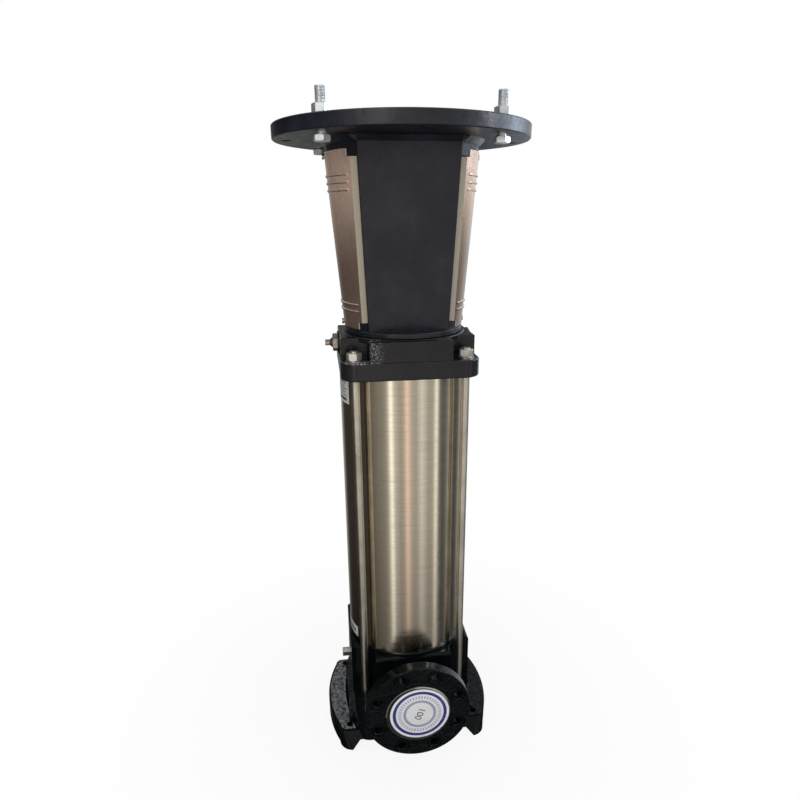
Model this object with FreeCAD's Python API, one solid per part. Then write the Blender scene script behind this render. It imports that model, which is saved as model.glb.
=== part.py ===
import FreeCAD, Part
import math
import os
from FreeCAD import Vector

# Vertical multistage pump with two opposed flanged ports. All sizes in millimetres.
# Origin: middle of the feet's bearing face. +Z up along the shaft, inlet port towards -Y.

# Ports
port_height = 140.0
port_reach = 190.0
port_flange_dia = 220.0
port_flange_thick = 24.0
port_bore_dia = 100.0
port_bolt_edge = 20.0
port_bolt_count = 8
port_bolt_hole = 18.0
port_spot_dia = 33.0
port_spot_depth = 1.5
port_neck_clear = 0.5
water_wall = 12.0
flange_chamfer = 1.5

# Base casting
base_half = 129.0
base_corner = 35.0
base_top = 232.0
base_recess = 20.0
recess_half = 119.0
recess_slope = 17.0
base_floor = 12.0
collar_height = 5.6
notch_radius = 38.0
notch_clear = 2.5
base_round = 7.0
lug_top = 130.0
flank_rise = 34.0
riser_top = 204.0
riser_seat = 12.0

# Feet
foot_spacing_x = 280.0
foot_spacing_y = 199.0
foot_hole_dia = 14.0
foot_height = 43.0
foot_reach_mid = 184.0
foot_reach_end = 163.0
foot_end_top = 117.0
foot_end_flare = 14.0
foot_corner = 13.0
foot_corner_low = 30.0
foot_edge_drop = 3.0
foot_pad_inset = 4.0
pad_inner_mid = 145.0
pad_inner_end = 127.0

# Outer sleeve and stay bolts
sleeve_dia = 251.4
sleeve_wall = 3.0
sleeve_length = 594.4
spigot_height = 24.0
spigot_wall = 10.6
spigot_clear = 0.1
seal_section = 4.2
seal_groove_play = 0.15
stay_pitch = 204.0
stay_dia = 16.0
stay_thread_depth = 32.0
stay_hole_play = 0.25
washer_dia = 30.0
washer_thick = 3.0
stay_nut_flats = 24.0
stay_nut_height = 13.0
stay_tip = 3.0
stay_nut_turn = 15.0

# Pump head
head_half = 127.5
head_corner = 32.0
head_slab = 33.0
head_height = 71.0
head_ring_dia = 236.0
head_ring_thick = 9.0
head_core_dia = 214.0
head_panel_half = 74.0
head_panel_setback = 3.0
head_panel_drop = 1.5
head_round = 3.0
head_roof = 12.0
head_boss_dia = 42.0
head_boss_drop = 22.0
head_boss_reach = 128.0
head_dome_dia = 190.0
air_way_dia = 8.0
seal_room_dia = 84.0
seal_room_wall = 11.0

# Plugs
plug_flats = 30.0
plug_head = 9.0
plug_thread_dia = 20.0
plug_thread = 22.0
vent_flats = 10.0
vent_head = 8.0
vent_cone = 6.0
vent_stem_dia = 7.0
vent_stem = 12.0
vent_play = 0.3
drain_flats = 19.0
drain_head = 17.0
drain_thread_dia = 12.0
drain_thread = 12.0
drain_place_y = 88.0
drain_place_z = 88.0
drain_way_dia = 8.0

# Motor stool
stool_foot_dia = 225.2
stool_foot_height = 10.0
stool_low_dia = 221.0
stool_high_dia = 274.0
stool_wall = 12.0
stool_flat_low = 84.0
stool_flat_high = 106.5
window_low = 24.0
window_high = 30.0
window_half_low = 73.5
window_half_high = 86.0
stool_rib_width = 9.0
stool_rib_depth = 26.0
stool_floor_thick = 14.0
stool_floor_clear = 7.0
stool_screw_inset = 13.5
stool_screw_angle = 30.0
stool_screw_depth = 18.0
stool_screw_head = 8.0
stool_screw_dia = 12.0
stool_screw_flats = 18.0
motor_flange_dia = 450.0
motor_flange_thick = 22.8
motor_flange_level = 1256.0
motor_bolt_edge = 25.0
motor_bolt_count = 8
motor_bolt_hole = 18.5
motor_spigot_inset = 25.0
motor_spigot_depth = 6.0
motor_throat_dia = 232.0
flange_root = 9.0

# Coupling guards
guard_thick = 1.5
guard_gap = 0.3
guard_half_angle = 60.0
guard_overlap = 11.0
guard_lip_setback = 9.0
guard_notch = 7.0
guard_lip_gap = 1.0
guard_bead_half_angle = 40.0
guard_bead_height = 5.0
guard_bead_proud = 2.0
guard_bead_pitch = 12.0
guard_bead_count_top = 3
guard_bead_count_foot = 2
guard_bead_first_high = 38.0
guard_bead_first_low = 31.5
guard_screw_dia = 6.0
guard_screw_head = 10.0
guard_screw_head_height = 4.0
guard_screw_seat = 0.4
guard_screw_length = 10.0

# Loose motor bolts
bolt_dia = 16.0
bolt_flats = 24.0
bolt_head = 10.0
bolt_drop = 5.0
rear_bolt_drop = 0.3
bolt_nut_height = 14.8
bolt_tip = 24.0
bolt_head_turn = 10.0
bolt_nut_turn = 25.0
thread_play = 0.1

# Hydraulics
stage_count = 6
stage_pitch = 92.0
chamber_dia = 208.0
chamber_wall = 3.0
chamber_floor = 4.0
chamber_vanes = 6
chamber_vane_inner = 70.0
chamber_vane_thick = 4.0
chamber_vane_height = 38.0
stack_bottom = 246.0
inlet_wall = 4.0
inlet_disc = 8.0
spider_arms = 3
spider_arm_thick = 6.0
impeller_dia = 170.0
impeller_eye_dia = 96.0
impeller_shroud = 3.0
impeller_lift = 3.0
impeller_channel = 15.0
impeller_vanes = 6
impeller_vane_thick = 3.0
vane_sweep = 42.0
impeller_hub_dia = 44.0
impeller_hub_height = 44.0
eye_clear = 0.4
neck_drop = 5.0
discharge_height = 44.0
discharge_windows = 6
discharge_window_width = 60.0
discharge_plate = 8.0

# Shaft line
shaft_dia = 28.0
shaft_bottom = 200.0
running_clear = 0.05
bearing_dia = 44.0
bearing_height = 20.0
bearing_lift = 4.0
bearing_holder_wall = 6.0
end_nut_flats = 41.0
end_nut_height = 14.0
shaft_collar_dia = 36.0
shaft_collar_height = 8.0
spacer_dia = 36.0

# Shaft seal
gland_clear = 17.0
gland_flange = 12.0
gland_spigot = 20.0
gland_bore = 36.0
gland_screw_edge = 9.0
gland_spigot_edge = 7.5
gland_screw_count = 4
gland_screw_dia = 8.0
gland_screw_head = 13.0
gland_screw_head_height = 5.5
gland_screw_length = 16.0
seat_dia = 60.0
seat_height = 10.0
seal_head_dia = 56.0
seal_head_height = 30.0
seal_face_gap = 0.3

# Shell coupling
coupling_dia = 104.0
coupling_height = 196.0
coupling_top_drop = 44.0
coupling_split = 1.2
motor_shaft_dia = 55.0
motor_shaft_grip = 90.0
pump_shaft_grip = 84.0
shaft_end_room = 2.0
coupling_screw_dia = 12.0
coupling_screw_head = 18.0
coupling_screw_place = 39.0
coupling_screw_margin = 34.0
coupling_seat = 24.0
pin_dia = 8.0
pin_length = 72.0
pin_lift = 30.0

# Port covers
cover_lip = 18.0
cover_thick = 3.0
cover_plug = 12.0
cover_plug_wall = 4.0
cover_play = 0.3
cover_round = 0.8

# Worked out from the values above
stay_half = stay_pitch / 2
port_bolt_circle = port_flange_dia - 2 * port_bolt_edge
port_neck_dia = port_bolt_circle - port_spot_dia - 2 * port_neck_clear
cover_dia = port_bore_dia + 2 * cover_lip
motor_bolt_circle = motor_flange_dia - 2 * motor_bolt_edge
motor_spigot_dia = motor_bolt_circle - 2 * motor_spigot_inset
stool_screw_circle = stool_low_dia - 2 * (stool_wall + stool_screw_inset)
gland_dia = stool_screw_circle - 2 * gland_clear
gland_screw_circle = gland_dia - 2 * gland_screw_edge
gland_bore_dia = gland_screw_circle - 2 * gland_spigot_edge
stool_floor_hole = gland_dia + 2 * stool_floor_clear
bolt_length = bolt_drop + motor_flange_thick + bolt_nut_height + bolt_tip
sleeve_low = base_top + collar_height
sleeve_high = sleeve_low + sleeve_length
sleeve_inner = sleeve_dia / 2 - sleeve_wall
spigot_radius = sleeve_inner - spigot_clear
water_radius = spigot_radius - spigot_wall
head_low = sleeve_high
slab_top = head_low + head_slab
head_top = head_low + head_height
stack_top = stack_bottom + stage_count * stage_pitch
discharge_top = stack_top + discharge_height
riser_radius = port_bore_dia / 2 + water_wall
inlet_tube_radius = port_bore_dia / 2 + inlet_wall
foot_top_z = foot_height
stool_low = head_top
stool_body_low = stool_low + stool_foot_height
flange_low = motor_flange_level - motor_flange_thick
window_low_z = stool_low + window_low
window_high_z = flange_low - window_high
boss_z = head_top - head_boss_drop
shaft_radius = shaft_dia / 2
coupling_high = motor_flange_level - coupling_top_drop
coupling_low = coupling_high - coupling_height
shaft_top = coupling_low + pump_shaft_grip
lip_tilt = (window_half_high - window_half_low) / (window_high_z - window_low_z)


def disc(radius, low, high, x=0.0, y=0.0):
    return Part.makeCylinder(radius, high - low, Vector(x, y, low))


def ring(outer, inner, low, high, x=0.0, y=0.0):
    return disc(outer, low, high, x, y).cut(disc(inner, low - 1, high + 1, x, y))


def edges_at(shape, level):
    """Edges that lie flat at one height."""
    margin = 0.01
    return [edge for edge in shape.Edges
            if abs(edge.BoundBox.ZMin - level) < margin and abs(edge.BoundBox.ZMax - level) < margin]


def chamfered_disc(radius, low, high, chamfer):
    plate = disc(radius, low, high)
    return plate.makeChamfer(chamfer, edges_at(plate, low) + edges_at(plate, high))


def polygon_face(points):
    return Part.Face(Part.makePolygon(points + [points[0]]))


def revolved(profile, start=0.0, sweep=360.0):
    """Turn a closed (radius, height) outline about the shaft axis."""
    face = polygon_face([Vector(radius, 0, height) for radius, height in profile])
    face.rotate(Vector(0, 0, 0), Vector(0, 0, 1), start)
    return face.revolve(Vector(0, 0, 0), Vector(0, 0, 1), sweep)


def rounded_outline(half, corner, level):
    """Square wire with round corners, centred on the shaft axis."""
    inner = half - corner
    mid = inner + corner * math.sqrt(0.5)
    edges = []
    for turn in range(4):
        spin = FreeCAD.Rotation(Vector(0, 0, 1), 90 * turn)
        start = spin.multVec(Vector(-inner, -half, level))
        end = spin.multVec(Vector(inner, -half, level))
        bend = spin.multVec(Vector(mid, -mid, level))
        close = spin.multVec(Vector(half, -inner, level))
        edges.append(Part.LineSegment(start, end).toShape())
        edges.append(Part.Arc(end, bend, close).toShape())
    return Part.Wire(edges)


def rounded_block(half, corner, low, high):
    return Part.Face(rounded_outline(half, corner, low)).extrude(Vector(0, 0, high - low))


def hexagon(flats, low, high, x=0.0, y=0.0, turn=0.0):
    """Upright hexagonal prism, given across its flats."""
    reach = flats / math.sqrt(3)
    angles = [math.radians(turn + 60 * step) for step in range(6)]
    points = [Vector(x + reach * math.cos(a), y + reach * math.sin(a), low) for a in angles]
    return polygon_face(points).extrude(Vector(0, 0, high - low))


def chamfered_hexagon(flats, low, high, x=0.0, y=0.0, turn=0.0):
    """Hexagonal prism whose corners are turned off at the top."""
    corner = flats / math.sqrt(3)
    depth = high - low
    drop = (corner - flats / 2) * math.tan(math.radians(30))
    cone = Part.makeCone(corner + (depth - drop) / math.tan(math.radians(30)), flats / 2, depth,
                         Vector(x, y, low))
    return hexagon(flats, low, high, x, y, turn).common(cone)


def towards(shape, direction):
    """Turn a shape that was made along +Z about the origin, so that it points along direction."""
    turned = shape.copy()
    turned.Placement = FreeCAD.Placement(Vector(0, 0, 0),
                                         FreeCAD.Rotation(Vector(0, 0, 1), direction))
    return turned


def moved(shape, x, y, z):
    shifted = shape.copy()
    shifted.translate(Vector(x, y, z))
    return shifted


def around(radius, count, start=0.0):
    """Points evenly spread on a circle round the shaft axis."""
    step = 360.0 / count
    angles = [math.radians(start + step * place) for place in range(count)]
    return [(radius * math.cos(angle), radius * math.sin(angle)) for angle in angles]


def corners(half):
    return [(sx * half, sy * half) for sx in (-1, 1) for sy in (-1, 1)]


def foot_outline(side, ends, level, inset=0.0, inner_mid=None, inner_end=None, corner=foot_corner):
    """Bow-shaped plan of one foot: convex outer edge, rounded corners, inner edge inside the body."""
    mid = foot_reach_mid - inset
    reach = foot_reach_end - inset
    end = ends - inset
    bend = end - corner
    inner = inner_end if inner_end else recess_half - recess_slope
    soft = corner * (1 - math.sqrt(0.5))
    near = Vector(side * inner, -end, level)
    near_corner = Vector(side * (reach - corner), -end, level)
    near_mid = Vector(side * (reach - soft), -end + soft, level)
    near_bend = Vector(side * reach, -bend, level)
    far_bend = Vector(side * reach, bend, level)
    far_mid = Vector(side * (reach - soft), end - soft, level)
    far_corner = Vector(side * (reach - corner), end, level)
    far = Vector(side * inner, end, level)
    edges = [Part.LineSegment(near, near_corner).toShape(),
             Part.Arc(near_corner, near_mid, near_bend).toShape(),
             Part.Arc(near_bend, Vector(side * mid, 0, level), far_bend).toShape(),
             Part.Arc(far_bend, far_mid, far_corner).toShape(),
             Part.LineSegment(far_corner, far).toShape()]
    if inner_mid:
        edges.append(Part.Arc(far, Vector(side * inner_mid, 0, level), near).toShape())
    else:
        edges.append(Part.LineSegment(far, near).toShape())
    return Part.Wire(edges)


def foot(side):
    """One foot: a bow-shaped block, flared and well rounded at its ends, with a raised pad on top."""
    bottom = foot_outline(side, foot_end_top + foot_end_flare, 0, corner=foot_corner_low)
    shoulder = foot_height - foot_edge_drop
    top = foot_outline(side, foot_end_top, shoulder)
    block = Part.makeLoft([bottom, top], True, True)
    pad_plan = foot_outline(side, foot_end_top, shoulder, foot_pad_inset, pad_inner_mid, pad_inner_end)
    pad = Part.Face(pad_plan).extrude(Vector(0, 0, foot_edge_drop))
    return block.fuse(pad)


def flank(side):
    """Sloping shoulder between the foot's pad and the side wall of the body."""
    wide = pad_inner_mid - foot_edge_drop
    low = foot_height - foot_edge_drop
    reach = base_half - base_corner
    inner = base_half - water_wall
    points = [Vector(side * inner, -reach, low), Vector(side * wide, -reach, low),
              Vector(side * base_half, -reach, low + flank_rise),
              Vector(side * inner, -reach, low + flank_rise)]
    return polygon_face(points).extrude(Vector(0, 2 * reach, 0))


def port_outside(side):
    """Neck and flange of one port, along Y."""
    neck_start = base_half - water_wall
    neck = disc(port_neck_dia / 2, neck_start, port_reach - port_flange_thick / 2)
    plate = chamfered_disc(port_flange_dia / 2, port_reach - port_flange_thick, port_reach, flange_chamfer)
    pieces = towards(neck.fuse(plate), Vector(0, side, 0))
    return moved(pieces, 0, 0, port_height)


def port_holes(side):
    """Bolt holes of one port flange with their shallow spot faces."""
    back = port_reach - port_flange_thick - 1
    half_step = 180.0 / port_bolt_count
    tools = []
    for x, y in around(port_bolt_circle / 2, port_bolt_count, half_step):
        tools.append(disc(port_bolt_hole / 2, back, port_reach + 1, x, y))
        tools.append(disc(port_spot_dia / 2, port_reach - port_spot_depth, port_reach + 1, x, y))
    turned = towards(Part.makeCompound(tools), Vector(0, side, 0))
    return moved(turned, 0, 0, port_height)


def port_bore(side, start):
    bore = towards(disc(port_bore_dia / 2, start, port_reach + 1), Vector(0, side, 0))
    return moved(bore, 0, 0, port_height)


def stay_notches():
    """Hollows that let the stay bolts pass down beside the body to their lugs."""
    reach = (sleeve_dia / 2 + notch_clear + notch_radius) * math.sqrt(0.5)
    return [disc(notch_radius, lug_top, base_top + 1, x, y) for x, y in corners(reach)]


def make_base_casting():
    """Base: square body on two feet, two ports, seat and spigot of the sleeve."""
    cavity_floor = base_recess + base_floor
    body = rounded_block(base_half, base_corner, base_recess, base_top)
    body = body.makeFillet(base_round, edges_at(body, base_top))
    body = body.cut(stay_notches())
    collar = disc(sleeve_dia / 2 + notch_clear, lug_top, sleeve_low)
    spigot = disc(spigot_radius, lug_top, sleeve_low + spigot_height)
    solids = [collar, spigot, port_outside(-1), port_outside(1)]
    for side in (-1, 1):
        solids += [foot(side), flank(side)]
    body = body.fuse(solids)
    wide = recess_half + recess_slope
    slope = [Vector(-wide, -port_reach, 0), Vector(-recess_half, -port_reach, base_recess),
             Vector(recess_half, -port_reach, base_recess), Vector(wide, -port_reach, 0)]
    body = body.cut(polygon_face(slope).extrude(Vector(0, 2 * port_reach, 0)))
    cavity = disc(water_radius, cavity_floor, sleeve_low + spigot_height + 1)
    suction = towards(disc(riser_radius, 0, port_reach), Vector(0, -1, 0))
    riser = disc(riser_radius, cavity_floor - 1, riser_top)
    suction = moved(suction, 0, 0, port_height).fuse(riser)
    body = body.cut(cavity.cut(suction))
    tools = [port_bore(-1, 0), port_bore(1, riser_radius + water_wall)]
    tools.append(disc(port_bore_dia / 2, port_height, riser_top + 1))
    tools.append(disc(inlet_tube_radius, riser_top - riser_seat, riser_top + 1))
    tools += [port_holes(-1), port_holes(1), seal_groove(sleeve_low + spigot_height / 2)]
    tools += [disc(stay_dia / 2 + stay_hole_play, lug_top - stay_thread_depth, lug_top + 1, x, y)
              for x, y in corners(stay_half)]
    for sx in (-1, 1):
        for sy in (-1, 1):
            x = sx * foot_spacing_x / 2
            y = sy * foot_spacing_y / 2
            tools.append(disc(foot_hole_dia / 2, -1, foot_top_z + 1, x, y))
    tools.append(drain_tool())
    return body.cut(tools)


def drain_tool():
    """Threaded hole of the drain plug and the way from it into the casting."""
    hole = disc(drain_thread_dia / 2 + thread_play, base_half - drain_thread, base_half + 1)
    way = disc(drain_way_dia / 2, water_radius / 2, base_half)
    return moved(towards(hole.fuse(way), Vector(-1, 0, 0)), 0, drain_place_y, drain_place_z)


def seal_groove(middle):
    """Groove for a sleeve seal ring round a spigot."""
    half = seal_section / 2 + seal_groove_play
    floor = sleeve_inner - seal_section - seal_groove_play
    return ring(sleeve_inner + 1, floor, middle - half, middle + half)


def make_sleeve_seals():
    """Two round-section seal rings between the spigots and the sleeve."""
    half = seal_section / 2
    levels = (sleeve_low + spigot_height / 2, sleeve_high - spigot_height / 2)
    return Part.makeCompound([Part.makeTorus(sleeve_inner - half, half, Vector(0, 0, level))
                              for level in levels])


def make_outer_sleeve():
    return ring(sleeve_dia / 2, sleeve_inner, sleeve_low, sleeve_high)


def make_stay_bolts():
    """Four threaded rods from the base's lugs to the head."""
    top = slab_top + washer_thick + stay_nut_height + stay_tip
    return Part.makeCompound([disc(stay_dia / 2, lug_top - stay_thread_depth, top, x, y)
                              for x, y in corners(stay_half)])


def make_stay_washers():
    bore = stay_dia / 2 + thread_play
    return Part.makeCompound([ring(washer_dia / 2, bore, slab_top, slab_top + washer_thick, x, y)
                              for x, y in corners(stay_half)])


def nut(flats, bore, low, height, x, y, turn=0.0):
    body = chamfered_hexagon(flats, low, low + height, x, y, turn)
    return body.cut(disc(bore / 2, low - 1, low + height + 1, x, y))


def make_stay_nuts():
    low = slab_top + washer_thick
    bore = stay_dia + 2 * thread_play
    return Part.makeCompound([nut(stay_nut_flats, bore, low, stay_nut_height, x, y, stay_nut_turn * sign)
                              for (x, y), sign in zip(corners(stay_half), (1, -1, 0, 1))])


def head_boss(side):
    """Round boss for a plug on one side of the head."""
    boss = towards(disc(head_boss_dia / 2, head_core_dia / 4, head_boss_reach), Vector(side, 0, 0))
    return moved(boss, 0, 0, boss_z)


def head_panels(half_x, half_y, low, high):
    """Block between two opposite panels of the head, its upper edges rounded."""
    block = Part.makeBox(2 * half_x, 2 * half_y, high - low, Vector(-half_x, -half_y, low))
    return block.makeFillet(head_round, edges_at(block, high))


def make_pump_head():
    """Head: square slab with corner pockets, round top face, seal room and spigot."""
    slab = rounded_block(head_half, head_corner, head_low, slab_top)
    slab = slab.makeFillet(head_round, edges_at(slab, head_low) + edges_at(slab, slab_top))
    panel = head_half - head_panel_setback
    panel_top = head_top - head_panel_drop
    panel_low = slab_top - head_round
    long_y = head_panels(head_panel_half, panel, panel_low, panel_top)
    long_x = head_panels(panel, head_panel_half, panel_low, panel_top)
    core = disc(head_core_dia / 2, slab_top, head_top)
    top_ring = chamfered_disc(head_ring_dia / 2, head_top - head_ring_thick, head_top, flange_chamfer)
    spigot = disc(spigot_radius, head_low - spigot_height, head_low)
    body = slab.fuse([long_y, long_x, core, top_ring, spigot, head_boss(-1), head_boss(1)])
    room = seal_room_dia / 2 + seal_room_wall
    dome_top = head_top - 2 * head_roof
    water = disc(water_radius, head_low - spigot_height - 1, slab_top - head_roof)
    water = water.fuse(disc(head_dome_dia / 2, head_low, dome_top))
    water = water.cut(disc(room, discharge_top, head_top))
    tools = [water, disc(seal_room_dia / 2, discharge_top - 1, head_top - gland_spigot - 1)]
    tools.append(disc(gland_bore_dia / 2, head_top - gland_spigot - 2, head_top + 1))
    tools.append(seal_groove(sleeve_high - spigot_height / 2))
    tools += [disc(stay_dia / 2 + stay_hole_play, head_low - 1, slab_top + 1, x, y)
              for x, y in corners(stay_half)]
    tools += [disc(gland_screw_dia / 2 + thread_play, head_top - gland_screw_length, head_top + 1, x, y)
              for x, y in around(gland_screw_circle / 2, gland_screw_count)]
    tools += [disc(stool_screw_dia / 2 + thread_play, head_top - stool_screw_depth, head_top + 1, x, y)
              for x, y in stool_screw_places()]
    for side in (-1, 1):
        hole = disc(plug_thread_dia / 2 + thread_play, head_boss_reach - plug_thread, head_boss_reach + 1)
        way = disc(air_way_dia / 2, head_dome_dia / 2 - head_roof, head_boss_reach)
        tools.append(moved(towards(hole.fuse(way), Vector(side, 0, 0)), 0, 0, boss_z))
    return body.cut(tools).removeSplitter()


def plug_body(flats, head, thread_dia, thread, seat):
    """Hexagon plug along +Z, its head standing on the seat."""
    body = chamfered_hexagon(flats, seat, seat + head)
    return body.fuse(disc(thread_dia / 2, seat - thread, seat))


def make_priming_plug():
    """Fill plug at the left of the head, bored for the vent screw."""
    body = plug_body(plug_flats, plug_head, plug_thread_dia, plug_thread - 1, head_boss_reach)
    seat = head_boss_reach + plug_head
    body = body.cut(disc(vent_stem_dia / 2 + vent_play, seat - vent_stem - 1, seat + 1))
    return moved(towards(body, Vector(-1, 0, 0)), 0, 0, boss_z)


def make_vent_screw():
    """Vent screw in the fill plug: cone, small hexagon and stem."""
    seat = head_boss_reach + plug_head + vent_play
    cone = Part.makeCone(plug_flats / 3, vent_flats / 2, vent_cone, Vector(0, 0, seat))
    tip = chamfered_hexagon(vent_flats, seat + vent_cone, seat + vent_cone + vent_head)
    stem = disc(vent_stem_dia / 2, seat - vent_stem, seat)
    return moved(towards(cone.fuse([tip, stem]), Vector(-1, 0, 0)), 0, 0, boss_z)


def make_blind_plug():
    body = plug_body(plug_flats, plug_head / 2, plug_thread_dia, plug_thread - 1, head_boss_reach)
    return moved(towards(body, Vector(1, 0, 0)), 0, 0, boss_z)


def make_drain_plug():
    body = plug_body(drain_flats, drain_head, drain_thread_dia, drain_thread - 1, base_half)
    return moved(towards(body, Vector(-1, 0, 0)), 0, drain_place_y, drain_place_z)


def stool_radius(z):
    """Outer radius of the stool's conical wall at a height."""
    share = (z - stool_body_low) / (flange_low - stool_body_low)
    return (stool_low_dia + (stool_high_dia - stool_low_dia) * share) / 2


def flat_reach(z):
    """Distance of the stool's front and rear faces from the shaft axis at a height."""
    share = (z - stool_body_low) / (flange_low - stool_body_low)
    return stool_flat_low + (stool_flat_high - stool_flat_low) * share


def leaning_wedge(low, high, offset):
    """Space between the stool's front and rear faces, made narrower by an offset."""
    near = flat_reach(low) - offset
    far = flat_reach(high) - offset
    points = [Vector(-motor_flange_dia, -near, low), Vector(-motor_flange_dia, near, low),
              Vector(-motor_flange_dia, far, high), Vector(-motor_flange_dia, -far, high)]
    return polygon_face(points).extrude(Vector(2 * motor_flange_dia, 0, 0))


def cone_between_flats(offset):
    """The stool's cone cut by its two leaning faces, made smaller by an offset."""
    low = stool_body_low
    high = flange_low
    radii = [stool_radius(low) - offset, stool_radius(high) - offset]
    cone = Part.makeCone(radii[0], radii[1], high - low, Vector(0, 0, low))
    return cone.common(leaning_wedge(low, high, offset))


def face_root(front):
    """Thickening where the front or rear face runs into the motor flange."""
    low = flange_low - flange_root
    reach = window_half_high
    points = [Vector(-reach, front * (flat_reach(low) - 1), low),
              Vector(-reach, front * flat_reach(low), low),
              Vector(-reach, front * (flat_reach(flange_low) + flange_root), flange_low),
              Vector(-reach, front * (flat_reach(flange_low) - 1), flange_low)]
    return polygon_face(points).extrude(Vector(2 * reach, 0, 0))


def window_tool(side):
    """Everything beyond the side edge of the faces, between the foot ring and the neck."""
    big = motor_flange_dia
    points = [Vector(side * window_half_low, -big, window_low_z), Vector(side * big, -big, window_low_z),
              Vector(side * big, -big, window_high_z), Vector(side * window_half_high, -big, window_high_z)]
    return polygon_face(points).extrude(Vector(0, 2 * big, 0))


def stool_rib(side, front):
    """Stiffening return along one side edge of a face."""
    low = stool_body_low
    tilt = lip_tilt
    edge_low = window_half_low + tilt * (low - window_low_z)
    edge_high = window_half_high + tilt * (flange_low - window_high_z)
    points = [Vector(side * (edge_low - stool_rib_width), 0, low), Vector(side * edge_low, 0, low),
              Vector(side * edge_high, 0, flange_low),
              Vector(side * (edge_high - stool_rib_width), 0, flange_low)]
    slab = polygon_face(points).extrude(Vector(0, front * motor_flange_dia, 0))
    far = -motor_flange_dia
    depth_low = front * (flat_reach(low) - stool_rib_depth)
    depth_high = front * (flat_reach(flange_low) - stool_rib_depth)
    inner = [Vector(far, 0, low), Vector(far, depth_low, low), Vector(far, depth_high, flange_low),
             Vector(far, 0, flange_low)]
    return slab.cut(polygon_face(inner).extrude(Vector(2 * motor_flange_dia, 0, 0)))


def make_motor_stool():
    """Lantern between head and motor: foot ring, two leaning faces, neck and motor flange."""
    outside = cone_between_flats(0)
    ribs = [stool_rib(side, front).common(outside) for side in (-1, 1) for front in (-1, 1)]
    shell = outside.cut(cone_between_flats(stool_wall)).fuse(ribs)
    shell = shell.cut([window_tool(-1), window_tool(1)])
    foot_ring = chamfered_disc(stool_foot_dia / 2, stool_low, stool_body_low, flange_chamfer)
    floor = disc(stool_low_dia / 2 - stool_wall / 2, stool_body_low, stool_low + stool_floor_thick)
    floor = floor.common(cone_between_flats(stool_wall / 2))
    plate = chamfered_disc(motor_flange_dia / 2, flange_low, motor_flange_level, flange_chamfer)
    root = Part.makeCone(stool_radius(flange_low), stool_radius(flange_low) + flange_root, flange_root,
                         Vector(0, 0, flange_low - flange_root))
    root = root.common(leaning_wedge(flange_low - flange_root, flange_low, 0))
    body = shell.fuse([foot_ring, floor, plate, root, face_root(-1), face_root(1)])
    tools = [disc(stool_floor_hole / 2, stool_low - 1, stool_body_low + stool_floor_thick)]
    tools.append(disc(motor_throat_dia / 2, flange_low - flange_root - 1, motor_flange_level + 1)
                 .common(throat_limit()))
    tools.append(disc(motor_spigot_dia / 2, motor_flange_level - motor_spigot_depth, motor_flange_level + 1))
    tools += [disc(motor_bolt_hole / 2, flange_low - 1, motor_flange_level + 1, x, y)
              for x, y in around(motor_bolt_circle / 2, motor_bolt_count)]
    screw_hole = stool_screw_dia / 2 + stay_hole_play
    tools += [disc(screw_hole, stool_low - 1, stool_body_low + stool_floor_thick, x, y)
              for x, y in stool_screw_places()]
    tools += guard_screw_shapes(guard_screw_dia / 2 + thread_play, 0)
    return body.cut(tools).removeSplitter()


def throat_limit():
    """Keeps the throat inside the stool's faces."""
    reach = flat_reach(flange_low) - stool_wall
    box = Part.makeBox(2 * motor_flange_dia, 2 * reach, motor_flange_dia,
                       Vector(-motor_flange_dia, -reach, flange_low - motor_flange_dia / 2))
    return box


def stool_screw_places():
    """Four places beside the ribs, inside the foot ring."""
    reach = stool_screw_circle / 2
    x = reach * math.cos(math.radians(stool_screw_angle))
    y = reach * math.sin(math.radians(stool_screw_angle))
    return [(sx * x, sy * y) for sx in (-1, 1) for sy in (-1, 1)]


def make_stool_screws():
    """Screws that hold the stool to the head."""
    seat = stool_low + stool_floor_thick
    screws = []
    for x, y in stool_screw_places():
        shank = disc(stool_screw_dia / 2, head_top - stool_screw_depth + 1, seat, x, y)
        screws.append(hexagon(stool_screw_flats, seat, seat + stool_screw_head, x, y).fuse(shank))
    return Part.makeCompound(screws)


def guard_screw_places():
    """Heights at which a guard is screwed to the stool."""
    return [window_low_z - guard_overlap / 2, window_high_z + guard_overlap / 2]


def guard_screw_shapes(radius, head):
    """Radial screws at the middle of each guard's lower and upper edge."""
    shapes = []
    for side in (-1, 1):
        for z in guard_screw_places():
            face = stool_radius(z) + guard_gap + guard_thick
            shape = disc(radius, face - guard_screw_length, face + guard_screw_seat)
            if head:
                shape = shape.fuse(disc(guard_screw_head / 2, face + guard_screw_seat, face + head))
            shapes.append(moved(towards(shape, Vector(side, 0, 0)), 0, 0, z))
    return shapes


def make_guard_screws():
    return Part.makeCompound(guard_screw_shapes(guard_screw_dia / 2, guard_screw_head_height))


def guard_sheet(low, high):
    """Conical sheet on the +X side, ending where it is folded in beside the stool's faces."""
    inner = guard_gap
    outer = guard_gap + guard_thick
    profile = [(stool_radius(low) + inner, low), (stool_radius(low) + outer, low),
               (stool_radius(high) + outer, high), (stool_radius(high) + inner, high)]
    sheet = revolved(profile, -guard_half_angle, 2 * guard_half_angle)
    return sheet.common(leaning_wedge(low, high, guard_lip_setback))


def guard_corner_notches(low, high):
    """Corners cut away above and below the folded edges."""
    whole = leaning_wedge(low - 1, high + 1, 0)
    narrow = leaning_wedge(low - 1, high + 1, guard_lip_setback + guard_notch)
    corner = whole.cut(narrow)
    reach = 2 * motor_flange_dia
    lower_height = window_low_z + guard_lip_gap - low + 1
    lower = Part.makeBox(reach, reach, lower_height, Vector(-reach / 2, -reach / 2, low - 1))
    upper = Part.makeBox(reach, reach, high - window_high_z + guard_lip_gap + 1,
                         Vector(-reach / 2, -reach / 2, window_high_z - guard_lip_gap))
    return corner.common(lower.fuse(upper))


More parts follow.
